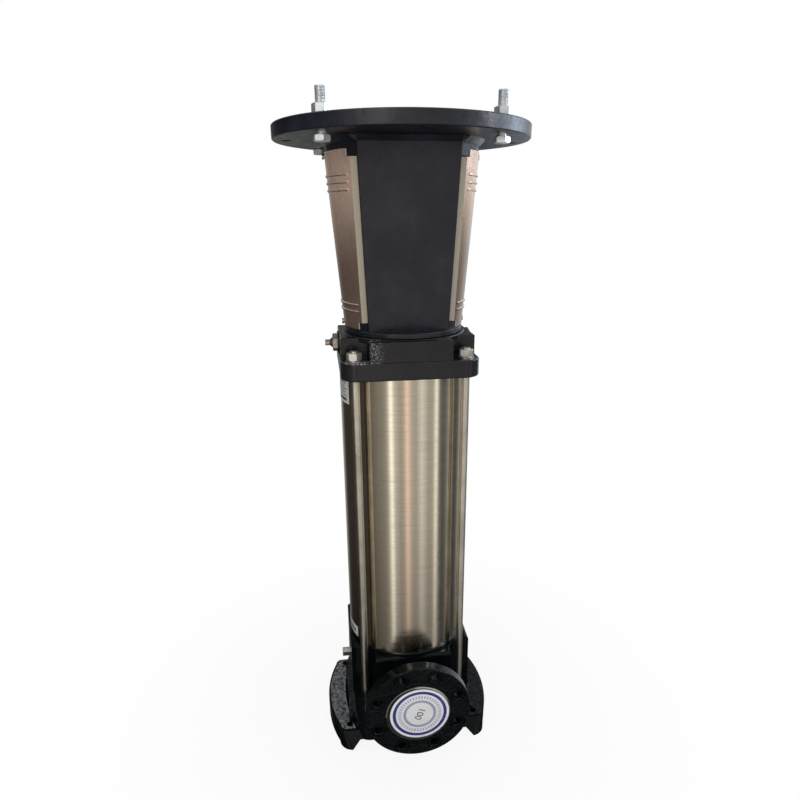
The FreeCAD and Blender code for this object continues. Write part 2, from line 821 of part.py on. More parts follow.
def guard_bead(middle):
    """Outline of one pressed bead and of the hollow behind it."""
    radius = stool_radius(middle) + guard_gap
    half = guard_bead_height / 2
    crest = half / 2
    face = radius + guard_thick
    proud = [(radius + guard_thick / 2, middle - half), (face, middle - half),
             (face + guard_bead_proud, middle - crest), (face + guard_bead_proud, middle + crest),
             (face, middle + half), (radius + guard_thick / 2, middle + half)]
    return revolved(proud, -guard_bead_half_angle, 2 * guard_bead_half_angle)


def guard_lip_plate(front, low, high):
    """Folded edge of a guard beside one face of the stool."""
    points = []
    for z in (low, high):
        edge = window_half_low + lip_tilt * (z - window_low_z) + guard_gap
        points.append((edge, flat_reach(z) - guard_lip_setback, z))
    (x0, y0, z0), (x1, y1, z1) = points
    radius_low = stool_radius(z0) + guard_gap + guard_thick / 2
    radius_high = stool_radius(z1) + guard_gap + guard_thick / 2
    fold_low = math.sqrt(radius_low ** 2 - y0 ** 2)
    fold_high = math.sqrt(radius_high ** 2 - y1 ** 2)
    outer = [Vector(x0, front * y0, z0), Vector(fold_low, front * y0, z0),
             Vector(fold_high, front * y1, z1), Vector(x1, front * y1, z1)]
    return polygon_face(outer).extrude(Vector(0, -front * guard_thick, 0))


def make_guard(side):
    """Coupling guard: conical sheet with pressed beads, folded edges and notched corners."""
    low = window_low_z - guard_overlap
    high = window_high_z + guard_overlap
    sheet = guard_sheet(low, high).cut(guard_corner_notches(low, high))
    beads = [guard_bead(high - guard_bead_first_high - guard_bead_pitch * step)
             for step in range(guard_bead_count_top)]
    beads += [guard_bead(low + guard_bead_first_low + guard_bead_pitch * step)
              for step in range(guard_bead_count_foot)]
    lips = [guard_lip_plate(front, window_low_z + guard_lip_gap, window_high_z - guard_lip_gap)
            for front in (-1, 1)]
    guard = sheet.fuse(beads + lips)
    if side < 0:
        guard = guard.rotated(Vector(0, 0, 0), Vector(0, 0, 1), 180)
    return guard.cut(guard_screw_shapes(guard_screw_dia / 2 + guard_gap, 0)).removeSplitter()


def loose_bolt_places():
    """The four flange holes that carry a loose motor bolt."""
    return around(motor_bolt_circle / 2, motor_bolt_count // 2, 45)


def make_motor_bolts():
    """Loose hexagon bolts: the front pair hangs from its nuts, the rear pair is pushed up."""
    bolts = []
    for x, y in loose_bolt_places():
        head_high = flange_low - (bolt_drop if y < 0 else rear_bolt_drop)
        shank = disc(bolt_dia / 2, head_high, head_high + bolt_length, x, y)
        bolts.append(hexagon(bolt_flats, head_high - bolt_head, head_high, x, y, bolt_head_turn).fuse(shank))
    return Part.makeCompound(bolts)


def make_motor_nuts():
    bore = bolt_dia + 2 * thread_play
    return Part.makeCompound([nut(bolt_flats, bore, motor_flange_level, bolt_nut_height, x, y, bolt_nut_turn)
                              for x, y in loose_bolt_places()])


def make_inlet_piece():
    """Tube from the riser to the first stage, with the spider that holds the lower bearing."""
    low = riser_top - riser_seat
    tube_radius = inlet_tube_radius - spigot_clear
    tube = ring(tube_radius, port_bore_dia / 2, low, stack_bottom)
    plate = ring(chamber_dia / 2, port_bore_dia / 2, stack_bottom - inlet_disc, stack_bottom)
    holder = bearing_dia / 2 + bearing_holder_wall
    bearing_low = shaft_bottom + bearing_lift
    hub = disc(holder, bearing_low, bearing_low + bearing_height)
    arms = []
    for place in range(spider_arms):
        arm = Part.makeBox(port_bore_dia / 2 + inlet_wall / 2, spider_arm_thick, bearing_height,
                           Vector(0, -spider_arm_thick / 2, bearing_low))
        arms.append(arm.rotated(Vector(0, 0, 0), Vector(0, 0, 1), 30 + 360 / spider_arms * place))
    body = tube.fuse([plate, hub] + arms)
    return body.cut(disc(bearing_dia / 2, bearing_low - 1, bearing_low + bearing_height + 1)).removeSplitter()


def make_shaft_bearings():
    """Plain bearings of the shaft: in the spider, and in the discharge piece."""
    low = shaft_bottom + bearing_lift
    bore = shaft_radius + running_clear
    upper = discharge_top - bearing_height
    return Part.makeCompound([ring(bearing_dia / 2, bore, low, low + bearing_height),
                              ring(bearing_dia / 2, bore, upper, upper + bearing_height)])


def make_chamber(low):
    """Stage casing: tube with a floor round the impeller's eye and return vanes above."""
    radius = chamber_dia / 2
    inner = radius - chamber_wall
    body = disc(radius, low, low + stage_pitch).cut(disc(inner, low + chamber_floor, low + stage_pitch + 1))
    vane_low = low + stage_pitch - chamber_vane_height
    length = inner + chamber_wall / 2 - chamber_vane_inner
    vanes = []
    for place in range(chamber_vanes):
        vane = Part.makeBox(length, chamber_vane_thick, chamber_vane_height,
                            Vector(chamber_vane_inner, -chamber_vane_thick / 2, vane_low))
        vanes.append(vane.rotated(Vector(0, 0, 0), Vector(0, 0, 1), 360 / chamber_vanes * place))
    eye = impeller_eye_dia / 2 + impeller_shroud + eye_clear
    return body.fuse(vanes).cut(disc(eye, low - 1, low + chamber_floor + 1)).removeSplitter()


def make_impeller(low):
    """Closed impeller: eye ring, two shrouds, bent vanes and hub."""
    radius = impeller_dia / 2
    eye = impeller_eye_dia / 2
    front = low + chamber_floor + impeller_lift
    channel = front + impeller_shroud
    back = channel + impeller_channel
    shroud = ring(radius, eye, front, channel)
    neck = ring(eye + impeller_shroud, eye, front - neck_drop, front)
    plate = disc(radius, back, back + impeller_shroud)
    hub = disc(impeller_hub_dia / 2, front, front + impeller_hub_height)
    vanes = [impeller_vane(channel, 360 / impeller_vanes * place) for place in range(impeller_vanes)]
    body = shroud.fuse([neck, plate, hub] + vanes)
    bore = disc(shaft_radius + running_clear, front - 1, front + impeller_hub_height + 1)
    return body.cut(bore).removeSplitter()


def impeller_vane(low, turn):
    """One vane, swept back from the eye to the rim."""
    start = Vector(impeller_eye_dia / 2 - impeller_shroud, 0, low)
    reach = impeller_dia / 2 - impeller_shroud
    lean = math.radians(vane_sweep)
    end = Vector(reach * math.cos(lean), -reach * math.sin(lean), low)
    along = (end - start).normalize()
    half = Vector(-along.y, along.x, 0) * (impeller_vane_thick / 2)
    vane = polygon_face([start + half, end + half, end - half, start - half])
    vane = vane.extrude(Vector(0, 0, impeller_channel))
    return vane.rotated(Vector(0, 0, 0), Vector(0, 0, 1), turn)


def hub_low(stage):
    return stack_bottom + stage * stage_pitch + chamber_floor + impeller_lift


def make_shaft_spacers():
    """Spacers between the impeller hubs, and the last one up to the shaft's collar."""
    length = stage_pitch - impeller_hub_height
    spacers = []
    for stage in range(stage_count):
        low = hub_low(stage) + impeller_hub_height
        spacers.append(ring(spacer_dia / 2, shaft_radius + running_clear, low, low + length))
    return Part.makeCompound(spacers)


def make_discharge_piece():
    """Top of the stack: windows to the ring space, and the seat of the upper bearing."""
    radius = chamber_dia / 2
    wall = ring(radius, radius - chamber_wall, stack_top, discharge_top)
    plate = disc(radius, discharge_top - discharge_plate, discharge_top)
    holder = disc(bearing_dia / 2 + bearing_holder_wall, discharge_top - bearing_height, discharge_top)
    tools = [disc(bearing_dia / 2, discharge_top - bearing_height - 1, discharge_top + 1)]
    height = discharge_height - 2 * discharge_plate
    for place in range(discharge_windows):
        window = Part.makeBox(radius, discharge_window_width, height,
                              Vector(radius / 2, -discharge_window_width / 2, stack_top + discharge_plate))
        tools.append(window.rotated(Vector(0, 0, 0), Vector(0, 0, 1), 360 / discharge_windows * place))
    return wall.fuse([plate, holder]).cut(tools).removeSplitter()


def make_pump_shaft():
    """Shaft from the lower bearing to the coupling, with the collar above the last spacer."""
    collar_low = hub_low(stage_count)
    shaft = disc(shaft_radius, shaft_bottom, shaft_top)
    collar = disc(shaft_collar_dia / 2, collar_low, collar_low + shaft_collar_height)
    pin_hole = moved(towards(disc(pin_dia / 2 + running_clear, -pin_length, pin_length), Vector(1, 0, 0)),
                     0, 0, coupling_low + pin_lift)
    return shaft.fuse(collar).cut(pin_hole).removeSplitter()


def make_shaft_end_nut():
    low = hub_low(0) - end_nut_height
    return nut(end_nut_flats, shaft_dia + 2 * running_clear, low, end_nut_height, 0, 0)


def make_gland():
    """Seal carrier on the head: flange, spigot and the recess of the stationary seat."""
    body = disc(gland_dia / 2, head_top, head_top + gland_flange)
    body = body.fuse(disc(gland_bore_dia / 2 - spigot_clear, head_top - gland_spigot, head_top))
    tools = [disc(gland_bore / 2, head_top - gland_spigot - 1, head_top + gland_flange + 1)]
    spigot_low = head_top - gland_spigot
    tools.append(disc(seat_dia / 2 + spigot_clear, spigot_low - 1, spigot_low + seat_height))
    tools += [disc(gland_screw_dia / 2 + thread_play, head_top - 1, head_top + gland_flange + 1, x, y)
              for x, y in around(gland_screw_circle / 2, gland_screw_count)]
    return body.cut(tools).removeSplitter()


def make_gland_screws():
    seat = head_top + gland_flange
    screws = []
    for x, y in around(gland_screw_circle / 2, gland_screw_count):
        shank = disc(gland_screw_dia / 2, head_top - gland_screw_length + 1, seat, x, y)
        screws.append(hexagon(gland_screw_head, seat, seat + gland_screw_head_height, x, y).fuse(shank))
    return Part.makeCompound(screws)


def make_seal_seat():
    low = head_top - gland_spigot
    return ring(seat_dia / 2, gland_bore / 2, low, low + seat_height)


def make_seal_head():
    """Rotating part of the shaft seal, driven by the shaft."""
    high = head_top - gland_spigot - seal_face_gap
    return ring(seal_head_dia / 2, shaft_radius + running_clear, high - seal_head_height, high)


def coupling_screw_places():
    """Places of the clamp screws beside the two shafts."""
    levels = (coupling_low + coupling_screw_margin, coupling_high - coupling_screw_margin)
    return [(y, z) for y in (-coupling_screw_place, coupling_screw_place) for z in levels]


def make_coupling_half(side):
    """One shell of the coupling, bored for the pump shaft below and the motor shaft above."""
    body = disc(coupling_dia / 2, coupling_low, coupling_high)
    pin_hole = towards(disc(pin_dia / 2 + running_clear, -pin_length / 2, pin_length / 2), Vector(1, 0, 0))
    tools = [disc(shaft_radius, coupling_low - 1, coupling_low + pump_shaft_grip + shaft_end_room),
             disc(motor_shaft_dia / 2, coupling_high - motor_shaft_grip, coupling_high + 1),
             moved(pin_hole, 0, 0, coupling_low + pin_lift)]
    for y, z in coupling_screw_places():
        hole = disc(coupling_screw_dia / 2 + thread_play, -coupling_seat, coupling_seat)
        pocket = disc(coupling_screw_head / 2 + 1, coupling_seat, coupling_dia)
        tools.append(moved(towards(hole.fuse(pocket), Vector(1, 0, 0)), 0, y, z))
    keep = Part.makeBox(coupling_dia, 2 * coupling_dia, coupling_height + 2,
                        Vector(coupling_split / 2, -coupling_dia, coupling_low - 1))
    if side < 0:
        keep = keep.rotated(Vector(0, 0, 0), Vector(0, 0, 1), 180)
    return body.common(keep).cut(tools).removeSplitter()


def make_coupling_screws():
    screws = []
    for y, z in coupling_screw_places():
        screw = disc(coupling_screw_dia / 2, 1 - coupling_seat, coupling_seat)
        head = disc(coupling_screw_head / 2, coupling_seat, coupling_seat + coupling_screw_dia)
        screws.append(moved(towards(screw.fuse(head), Vector(1, 0, 0)), 0, y, z))
    return Part.makeCompound(screws)


def make_coupling_pin():
    pin = disc(pin_dia / 2, -pin_length / 2 + 1, pin_length / 2 - 1)
    return moved(towards(pin, Vector(1, 0, 0)), 0, 0, coupling_low + pin_lift)


def make_port_cover(side):
    """Push-in plastic cover of a port."""
    face = port_reach + cover_play
    plug = port_bore_dia / 2 - cover_play
    cover = disc(cover_dia / 2, face, face + cover_thick)
    cover = cover.makeFillet(cover_round, edges_at(cover, face + cover_thick))
    cover = cover.fuse(ring(plug, plug - cover_plug_wall, face - cover_plug, face))
    return moved(towards(cover, Vector(0, side, 0)), 0, 0, port_height)


def all_parts():
    parts = {
        "base_casting": make_base_casting(),
        "inlet_cover": make_port_cover(-1),
        "outlet_cover": make_port_cover(1),
        "drain_plug": make_drain_plug(),
        "outer_sleeve": make_outer_sleeve(),
        "sleeve_seals": make_sleeve_seals(),
        "stay_bolts": make_stay_bolts(),
        "stay_bolt_washers": make_stay_washers(),
        "stay_bolt_nuts": make_stay_nuts(),
        "pump_head": make_pump_head(),
        "priming_plug": make_priming_plug(),
        "vent_screw": make_vent_screw(),
        "blind_plug": make_blind_plug(),
        "motor_stool": make_motor_stool(),
        "stool_screws": make_stool_screws(),
        "guard_left": make_guard(-1),
        "guard_right": make_guard(1),
        "guard_screws": make_guard_screws(),
        "motor_bolts": make_motor_bolts(),
        "motor_bolt_nuts": make_motor_nuts(),
        "inlet_piece": make_inlet_piece(),
        "shaft_bearings": make_shaft_bearings(),
        "shaft_spacers": make_shaft_spacers(),
        "discharge_piece": make_discharge_piece(),
        "pump_shaft": make_pump_shaft(),
        "shaft_end_nut": make_shaft_end_nut(),
        "seal_gland": make_gland(),
        "gland_screws": make_gland_screws(),
        "seal_seat": make_seal_seat(),
        "seal_head": make_seal_head(),
        "coupling_half_left": make_coupling_half(-1),
        "coupling_half_right": make_coupling_half(1),
        "coupling_screws": make_coupling_screws(),
        "coupling_pin": make_coupling_pin(),
    }
    for stage in range(stage_count):
        low = stack_bottom + stage * stage_pitch
        parts["stage_chamber_" + str(stage + 1)] = make_chamber(low)
        parts["impeller_" + str(stage + 1)] = make_impeller(low)
    return parts


def main():
    os.makedirs("parts", exist_ok=True)
    for name, shape in all_parts().items():
        shape.exportStep("parts/" + name + ".step")
        print(name, len(shape.Solids), shape.isValid(), round(shape.Volume / 1000, 1))


main()
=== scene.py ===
# Vertical multistage pump, motor taken off: finishes, fasteners, port caps, labels, light and camera.
import math

import bmesh
import bpy
import numpy as np
from mathutils import Matrix, Vector


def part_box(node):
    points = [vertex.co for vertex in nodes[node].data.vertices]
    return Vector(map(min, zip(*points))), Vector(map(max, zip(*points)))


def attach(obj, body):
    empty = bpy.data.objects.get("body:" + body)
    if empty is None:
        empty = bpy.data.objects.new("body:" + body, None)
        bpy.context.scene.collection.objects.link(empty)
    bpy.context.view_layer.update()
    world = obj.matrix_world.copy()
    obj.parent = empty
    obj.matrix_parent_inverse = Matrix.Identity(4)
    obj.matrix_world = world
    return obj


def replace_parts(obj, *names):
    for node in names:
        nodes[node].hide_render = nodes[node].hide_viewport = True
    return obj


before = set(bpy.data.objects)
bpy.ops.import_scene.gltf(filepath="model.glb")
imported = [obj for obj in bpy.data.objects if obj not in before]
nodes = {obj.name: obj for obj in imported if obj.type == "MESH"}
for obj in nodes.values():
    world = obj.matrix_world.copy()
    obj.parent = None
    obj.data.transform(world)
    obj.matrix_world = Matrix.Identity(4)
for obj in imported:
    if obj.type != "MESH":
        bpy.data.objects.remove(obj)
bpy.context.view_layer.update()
scene = bpy.context.scene
print("frame loaded:", len(nodes), "nodes")


def gridQuads(rows, columns, closed=True):
    # one quad between each point, its neighbour on the row and the same two points on the next row
    across = columns if closed else columns - 1
    row, column = np.meshgrid(np.arange(rows - 1), np.arange(across), indexing="ij")
    beside = (column + 1) % columns
    corners = [row * columns + column, row * columns + beside,
               (row + 1) * columns + beside, (row + 1) * columns + column]
    return np.stack(corners, -1).reshape(-1, 4)


def revolve(profile, count=64):
    # profile point (r, h) carried round the axis: x = r cos t, y = r sin t, z = h
    r, h = np.array(profile, float).T
    t = np.arange(count) * 2 * np.pi / count
    points = np.stack([np.outer(r, np.cos(t)), np.outer(r, np.sin(t)), np.outer(h, np.ones(count))], -1)
    return points.reshape(-1, 3), gridQuads(len(r), count)


# radius of the chamfer circle over the flats, then the fall of the end faces beyond it in degrees
hexEnd = {"circle": 0.475, "fall": 30}


def hexBody(flats, low, high, bore=0.0, turn=0.0, count=72):
    # hexagon radius at angle t is half the flats over cos(t folded into -30..30 degrees)
    t = np.arange(count) * 2 * np.pi / count
    fold = (t + np.pi / 6) % (np.pi / 3) - np.pi / 6
    edge = flats / 2 / np.cos(fold)
    circle = np.minimum(edge, flats * hexEnd["circle"])
    fall = (edge - circle) * math.tan(math.radians(hexEnd["fall"]))
    inner, bottom, top = np.full(count, bore), np.full(count, low), np.full(count, high)
    radii = [inner, circle, edge, edge, circle, inner]
    heights = [bottom, bottom, low + fall, high - fall, top, top]
    if bore:
        radii.append(inner)
        heights.append(bottom)
    r, h = np.array(radii), np.array(heights)
    angle = t + math.radians(turn)
    points = np.stack([r * np.cos(angle), r * np.sin(angle), h], -1)
    return points.reshape(-1, 3), gridQuads(len(r), count)


# chamfer at both ends in thread depths, then how far a thread runs past the tip in metres
rodEnd = {"chamfer": 1.6, "past": 0.01}


def threadedRod(radius, low, high, threads, pitch, depth, count=28, perTurn=8):
    # radius at height z and angle t: the crest less the depth times a triangle wave of z/pitch - t/2pi,
    # faded in over one pitch at the ends of every threaded stretch
    chamfer = depth * rodEnd["chamfer"]
    levels = [low, low + chamfer]
    for start, stop in threads:
        levels.extend(np.arange(start, stop, pitch / perTurn))
    levels = np.unique(np.round(np.array(levels + [high - chamfer, high]), 7))
    levels = levels[(levels >= low) & (levels <= high)]
    t = np.arange(count) * 2 * np.pi / count
    z = levels[:, None] + 0 * t
    wave = np.abs(2 * ((z / pitch - t / (2 * np.pi)) % 1) - 1)
    fade = np.zeros_like(levels)
    for start, stop in threads:
        fade = np.maximum(fade, np.clip(np.minimum(levels - start, stop - levels) / pitch, 0, 1))
    r = radius - depth * fade[:, None] * wave
    ends = np.clip(np.minimum(levels - low, high - levels), 0, chamfer)
    r = np.minimum(r, (radius - chamfer + ends)[:, None])
    r = np.vstack([0 * t, r, 0 * t])
    z = np.vstack([z[:1], z, z[-1:]])
    points = np.stack([r * np.cos(t), r * np.sin(t), z], -1)
    return points.reshape(-1, 3), gridQuads(len(r), count)


def shifted(part, x, y, z=0.0):
    points, quads = part
    return points + np.array([x, y, z]), quads


def pointed(part, axis):
    # turns a part made along +z so that it runs along the given axis
    points, quads = part
    turn = np.array(Vector((0, 0, 1)).rotation_difference(Vector(axis)).to_matrix())
    return points @ turn.T, quads


# in metres: points no further apart are joined, and edges no longer than short are dissolved
weld = {"apart": 1e-6, "short": 1e-7}


def buildPiece(name, parts, material, body, sharp=32):
    # one mesh from several grids; edges bent by more than sharp degrees stay sharp
    start, points, quads = 0, [], []
    for partPoints, partQuads in parts:
        points.append(partPoints)
        quads.append(partQuads + start)
        start += len(partPoints)
    points, quads = np.vstack(points), np.vstack(quads)
    mesh = bpy.data.meshes.new(name)
    mesh.vertices.add(len(points))
    mesh.vertices.foreach_set("co", points.astype(np.float32).ravel())
    mesh.loops.add(quads.size)
    mesh.loops.foreach_set("vertex_index", quads.astype(np.int32).ravel())
    mesh.polygons.add(len(quads))
    mesh.polygons.foreach_set("loop_start", np.arange(0, quads.size, 4, dtype=np.int32))
    mesh.update(calc_edges=True)
    work = bmesh.new()
    work.from_mesh(mesh)
    bmesh.ops.remove_doubles(work, verts=work.verts, dist=weld["apart"])  # closes seams and poles
    bmesh.ops.dissolve_degenerate(work, edges=work.edges, dist=weld["short"])
    work.to_mesh(mesh)
    work.free()
    mesh.polygons.foreach_set("use_smooth", np.ones(len(mesh.polygons), bool))
    mesh.set_sharp_from_angle(angle=math.radians(sharp))
    mesh.validate()
    mesh.materials.append(material)
    piece = bpy.data.objects.new(name, mesh)
    scene.collection.objects.link(piece)
    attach(piece, body)
    return piece


def newMaterial(name):
    material = bpy.data.materials.new(name)
    material.use_nodes = True
    tree = material.node_tree
    tree.nodes.clear()
    output = tree.nodes.new("ShaderNodeOutputMaterial")
    shader = tree.nodes.new("ShaderNodeBsdfPrincipled")
    tree.links.new(shader.outputs[0], output.inputs[0])
    return material, tree, shader


def setInput(tree, socket, value):
    if isinstance(value, bpy.types.NodeSocket):
        tree.links.new(value, socket)
    else:
        socket.default_value = value


def compute(tree, operation, *values):
    node = tree.nodes.new("ShaderNodeMath")
    node.operation = operation
    for socket, value in zip(node.inputs, values):
        setInput(tree, socket, value)
    return node.outputs[0]


def product(tree, first, *rest):
    for value in rest:
        first = compute(tree, "MULTIPLY", first, value)
    return first


def within(tree, value, low, high):
    # 1 between low and high, else 0
    return product(tree, compute(tree, "GREATER_THAN", value, low), compute(tree, "LESS_THAN", value, high))


def distanceOf(tree, across, along):
    squares = compute(tree, "ADD", product(tree, across, across), product(tree, along, along))
    return compute(tree, "SQRT", squares)


def spread(tree, value, low, high, outLow=0.0, outHigh=1.0):
    # maps low..high smoothly to outLow..outHigh, held at the ends
    node = tree.nodes.new("ShaderNodeMapRange")
    node.interpolation_type = "SMOOTHSTEP"
    for socket, number in zip(list(node.inputs)[:5], (value, low, high, outLow, outHigh)):
        setInput(tree, socket, number)
    return node.outputs[0]


def noise(tree, vector, scale, detail=3.0, rough=0.55):
    node = tree.nodes.new("ShaderNodeTexNoise")
    setInput(tree, node.inputs["Vector"], vector)
    node.inputs["Scale"].default_value = scale
    node.inputs["Detail"].default_value = detail
    node.inputs["Roughness"].default_value = rough
    return node.outputs["Fac"]


def mixColour(tree, share, first, second):
    node = tree.nodes.new("ShaderNodeMix")
    node.data_type = "RGBA"
    setInput(tree, node.inputs[0], share)
    for socket, colour in ((node.inputs[6], first), (node.inputs[7], second)):
        setInput(tree, socket, colour if isinstance(colour, bpy.types.NodeSocket) else (*colour, 1))
    return node.outputs[2]


def objectPoint(tree):
    coordinates = tree.nodes.new("ShaderNodeTexCoord").outputs["Object"]
    split = tree.nodes.new("ShaderNodeSeparateXYZ")
    tree.links.new(coordinates, split.inputs[0])
    return coordinates, split.outputs


def rampOf(tree, value, stops, interpolation):
    # colour ramp from (position, colour) pairs in rising order
    node = tree.nodes.new("ShaderNodeValToRGB")
    ramp = node.color_ramp
    ramp.interpolation = interpolation
    ramp.elements.remove(ramp.elements[1])
    ramp.elements[0].position = stops[0][0]
    ramp.elements[0].color = (*stops[0][1], 1)
    for position, colour in stops[1:]:
        ramp.elements.new(position).color = (*colour, 1)
    tree.links.new(value, node.inputs[0])
    return node.outputs[0]


def trueNormal(tree):
    split = tree.nodes.new("ShaderNodeSeparateXYZ")
    tree.links.new(tree.nodes.new("ShaderNodeNewGeometry").outputs["True Normal"], split.inputs[0])
    return split.outputs


def joinedPoint(tree, x, y, z):
    join = tree.nodes.new("ShaderNodeCombineXYZ")
    for socket, value in zip(join.inputs, (x, y, z)):
        setInput(tree, socket, value)
    return join.outputs[0]


def stretched(tree, place, scales):
    return joinedPoint(tree, *(product(tree, value, scale) for value, scale in zip(place, scales)))


bevelSamples = 4


def raised(tree, shader, heights, edge):
    # stacks bumps, each (height socket, depth in metres, strength), over a rounded-edge normal
    normal = None
    if edge:
        rounding = tree.nodes.new("ShaderNodeBevel")
        rounding.samples = bevelSamples
        rounding.inputs["Radius"].default_value = edge
        normal = rounding.outputs[0]
    for height, depth, strength in heights:
        bump = tree.nodes.new("ShaderNodeBump")
        bump.inputs["Distance"].default_value = depth
        setInput(tree, bump.inputs["Strength"], strength)
        tree.links.new(height, bump.inputs["Height"])
        if normal:
            tree.links.new(normal, bump.inputs["Normal"])
        normal = bump.outputs[0]
    if normal:
        tree.links.new(normal, shader.inputs["Normal"])


noiseBand = (0.3, 0.7)
castNoise = {"driftDetail": 4, "skin": (5, 0.6), "grainScale": 5, "grain": (3, 0.65), "speck": (4, 0.75),
             "skinStrength": 0.6, "grainStrength": 0.5, "patchGloss": 0.12, "ringStrength": 0.9}


def castPaint(name, look):
    # black paint on cast iron: a wide noise drifts between two tones, a finer one moves the gloss;
    # rough patches, where asked for, take a coarse skin with pale peaks, which are painted glints on the
    # head and a pale mottled tone on the feet's pads, and rings take relief
    material, tree, shader = newMaterial(name)
    point, place = objectPoint(tree)
    drift = noise(tree, point, look["drift"], castNoise["driftDetail"])
    skin = noise(tree, point, look["skin"], *castNoise["skin"])
    grain = noise(tree, point, look["skin"] * castNoise["grainScale"], *castNoise["grain"])
    colour = mixColour(tree, spread(tree, drift, *noiseBand), look["dark"], look["light"])
    roughness = spread(tree, skin, *noiseBand, *look["gloss"])
    heights = [(skin, look["skinDepth"], castNoise["skinStrength"]),
               (grain, look["grainDepth"], castNoise["grainStrength"])]
    if "patch" in look:
        share = look["patch"](tree, *place)
        speck = noise(tree, point, look["speck"], *castNoise["speck"])
        paleSpecksAndGlints = product(tree, share, spread(tree, speck, *look["speckBand"]))
        colour = mixColour(tree, paleSpecksAndGlints, colour, look["paleSpecksAndGlints"])
        roughness = compute(tree, "ADD", roughness, product(tree, share, castNoise["patchGloss"]))
        heights.append((speck, look["speckDepth"], share))
    if "rings" in look:
        heights.append((look["rings"](tree, *place), look["ringDepth"], castNoise["ringStrength"]))
    tree.links.new(colour, shader.inputs["Base Color"])
    tree.links.new(roughness, shader.inputs["Roughness"])
    shader.inputs["Specular IOR Level"].default_value = look["specular"]
    shader.inputs["Specular Tint"].default_value = (*look.get("tint", (1, 1, 1)), 1)
    raised(tree, shader, heights, look["edge"])
    return material


metalNoise = {"lines": (1.0, 4, 0.6), "streakBand": (0.4, 0.75), "glossBand": (0.25, 0.75), "strength": 0.4}


def metal(name, look):
    # bare or plated metal: two tones drift, fine streaks run along the piece, the gloss follows them
    material, tree, shader = newMaterial(name)
    point, place = objectPoint(tree)
    lines = noise(tree, stretched(tree, place, look["stretch"]), *metalNoise["lines"])
    drift = noise(tree, point, look["drift"])
    colour = mixColour(tree, spread(tree, drift, *noiseBand), look["dark"], look["light"])
    streaks = spread(tree, lines, *metalNoise["streakBand"], 0, look["streak"])
    colour = mixColour(tree, streaks, colour, look["dark"])
    tree.links.new(colour, shader.inputs["Base Color"])
    gloss = spread(tree, lines, *metalNoise["glossBand"], *look["gloss"])
    tree.links.new(gloss, shader.inputs["Roughness"])
    shader.inputs["Metallic"].default_value = look.get("metallic", 1.0)
    raised(tree, shader, [(lines, look["depth"], metalNoise["strength"])], look["edge"])
    return material


plainNoise = {"grain": (4, 0.6), "strength": 0.5}


def plain(name, look):
    # plastic, rubber and carbon: fine moulded grain, a slow drift of tone and a painted highlight on a rim
    # if asked for
    material, tree, shader = newMaterial(name)
    point, place = objectPoint(tree)
    grain = noise(tree, point, look["grain"], *plainNoise["grain"])
    drift = noise(tree, point, look["drift"])
    colour = mixColour(tree, spread(tree, drift, *noiseBand), look["dark"], look["light"])
    if "rim" in look:
        colour = mixColour(tree, look["rim"](tree, *place), colour, look["rimTone"])
    tree.links.new(colour, shader.inputs["Base Color"])
    tree.links.new(spread(tree, grain, *noiseBand, *look["gloss"]), shader.inputs["Roughness"])
    raised(tree, shader, [(grain, look["depth"], plainNoise["strength"])], look["edge"])
    return material


footPad = {"low": 0.0415, "high": 0.0445, "outside": 0.1255, "edge": 0.145, "bow": 1.315, "upward": 0.6,
           "edgeBand": (0.0005, 0.004), "edgeShare": (1.25, 0.66), "sides": (-0.1, 0.1), "sideShare": (1.0, 0.12)}


def footPads(tree, x, y, z):
    # share of a pale mottled tone on the raised pads of the feet, largest along their inner edge, which
    # lies at x = edge - bow times y squared; only upward faces at the pads' height count, and the share is
    # large on the left foot and small on the right
    aside = compute(tree, "ABSOLUTE", x)
    outside = compute(tree, "GREATER_THAN", aside, footPad["outside"])
    bow = product(tree, y, y, footPad["bow"])
    inward = compute(tree, "ADD", compute(tree, "SUBTRACT", aside, footPad["edge"]), bow)
    edge = spread(tree, inward, *footPad["edgeBand"], *footPad["edgeShare"])
    facing = compute(tree, "GREATER_THAN", trueNormal(tree)[2], footPad["upward"])
    sideShare = spread(tree, x, *footPad["sides"], *footPad["sideShare"])
    return product(tree, edge, sideShare, within(tree, z, footPad["low"], footPad["high"]), outside, facing)


portFace = {"height": 0.14, "circle": 0.09, "holes": 8, "front": 0.185, "ringStart": (0.0105, 0.0125),
            "ringEnd": (0.0135, 0.0155), "lumps": (95.0, 2, 0.5), "lumpBand": (0.45, 0.6), "lumpShare": 0.5}


def holeRings(tree, x, y, z):
    # height of the rough face of a port flange: 1 on a narrow ring round each hole, and low lumps; with d
    # the distance from the port's centre line, a the angle round it folded onto one hole and c the
    # radius of the hole circle, the distance to that hole squared is d squared + c squared - 2 d c cos a
    circle, step = portFace["circle"], 2 * math.pi / portFace["holes"]
    lifted = compute(tree, "SUBTRACT", z, portFace["height"])
    distance = distanceOf(tree, x, lifted)
    turn = compute(tree, "ADD", compute(tree, "ARCTAN2", lifted, x), 2 * math.pi)
    folded = compute(tree, "SUBTRACT", compute(tree, "MODULO", turn, step), step / 2)
    along = product(tree, distance, compute(tree, "COSINE", folded), 2 * circle)
    squares = compute(tree, "ADD", product(tree, distance, distance), circle ** 2)
    away = compute(tree, "SQRT", compute(tree, "SUBTRACT", squares, along))
    ring = product(tree, spread(tree, away, *portFace["ringStart"]),
                   spread(tree, away, *portFace["ringEnd"], 1.0, 0.0))
    bumps = noise(tree, joinedPoint(tree, x, y, z), *portFace["lumps"])
    lumps = spread(tree, bumps, *portFace["lumpBand"], 0.0, portFace["lumpShare"])
    front = compute(tree, "GREATER_THAN", compute(tree, "ABSOLUTE", y), portFace["front"])
    return product(tree, compute(tree, "ADD", ring, lumps), front)


# painted highlight on the port covers' raised rim
capHighlight = {"height": 0.14, "ringStart": (0.0652, 0.0658), "ringEnd": (0.0675, 0.0685),
           "fadeIn": (0.2, 0.9), "fadeOut": (1.55, 1.75), "leftShare": 0.25}


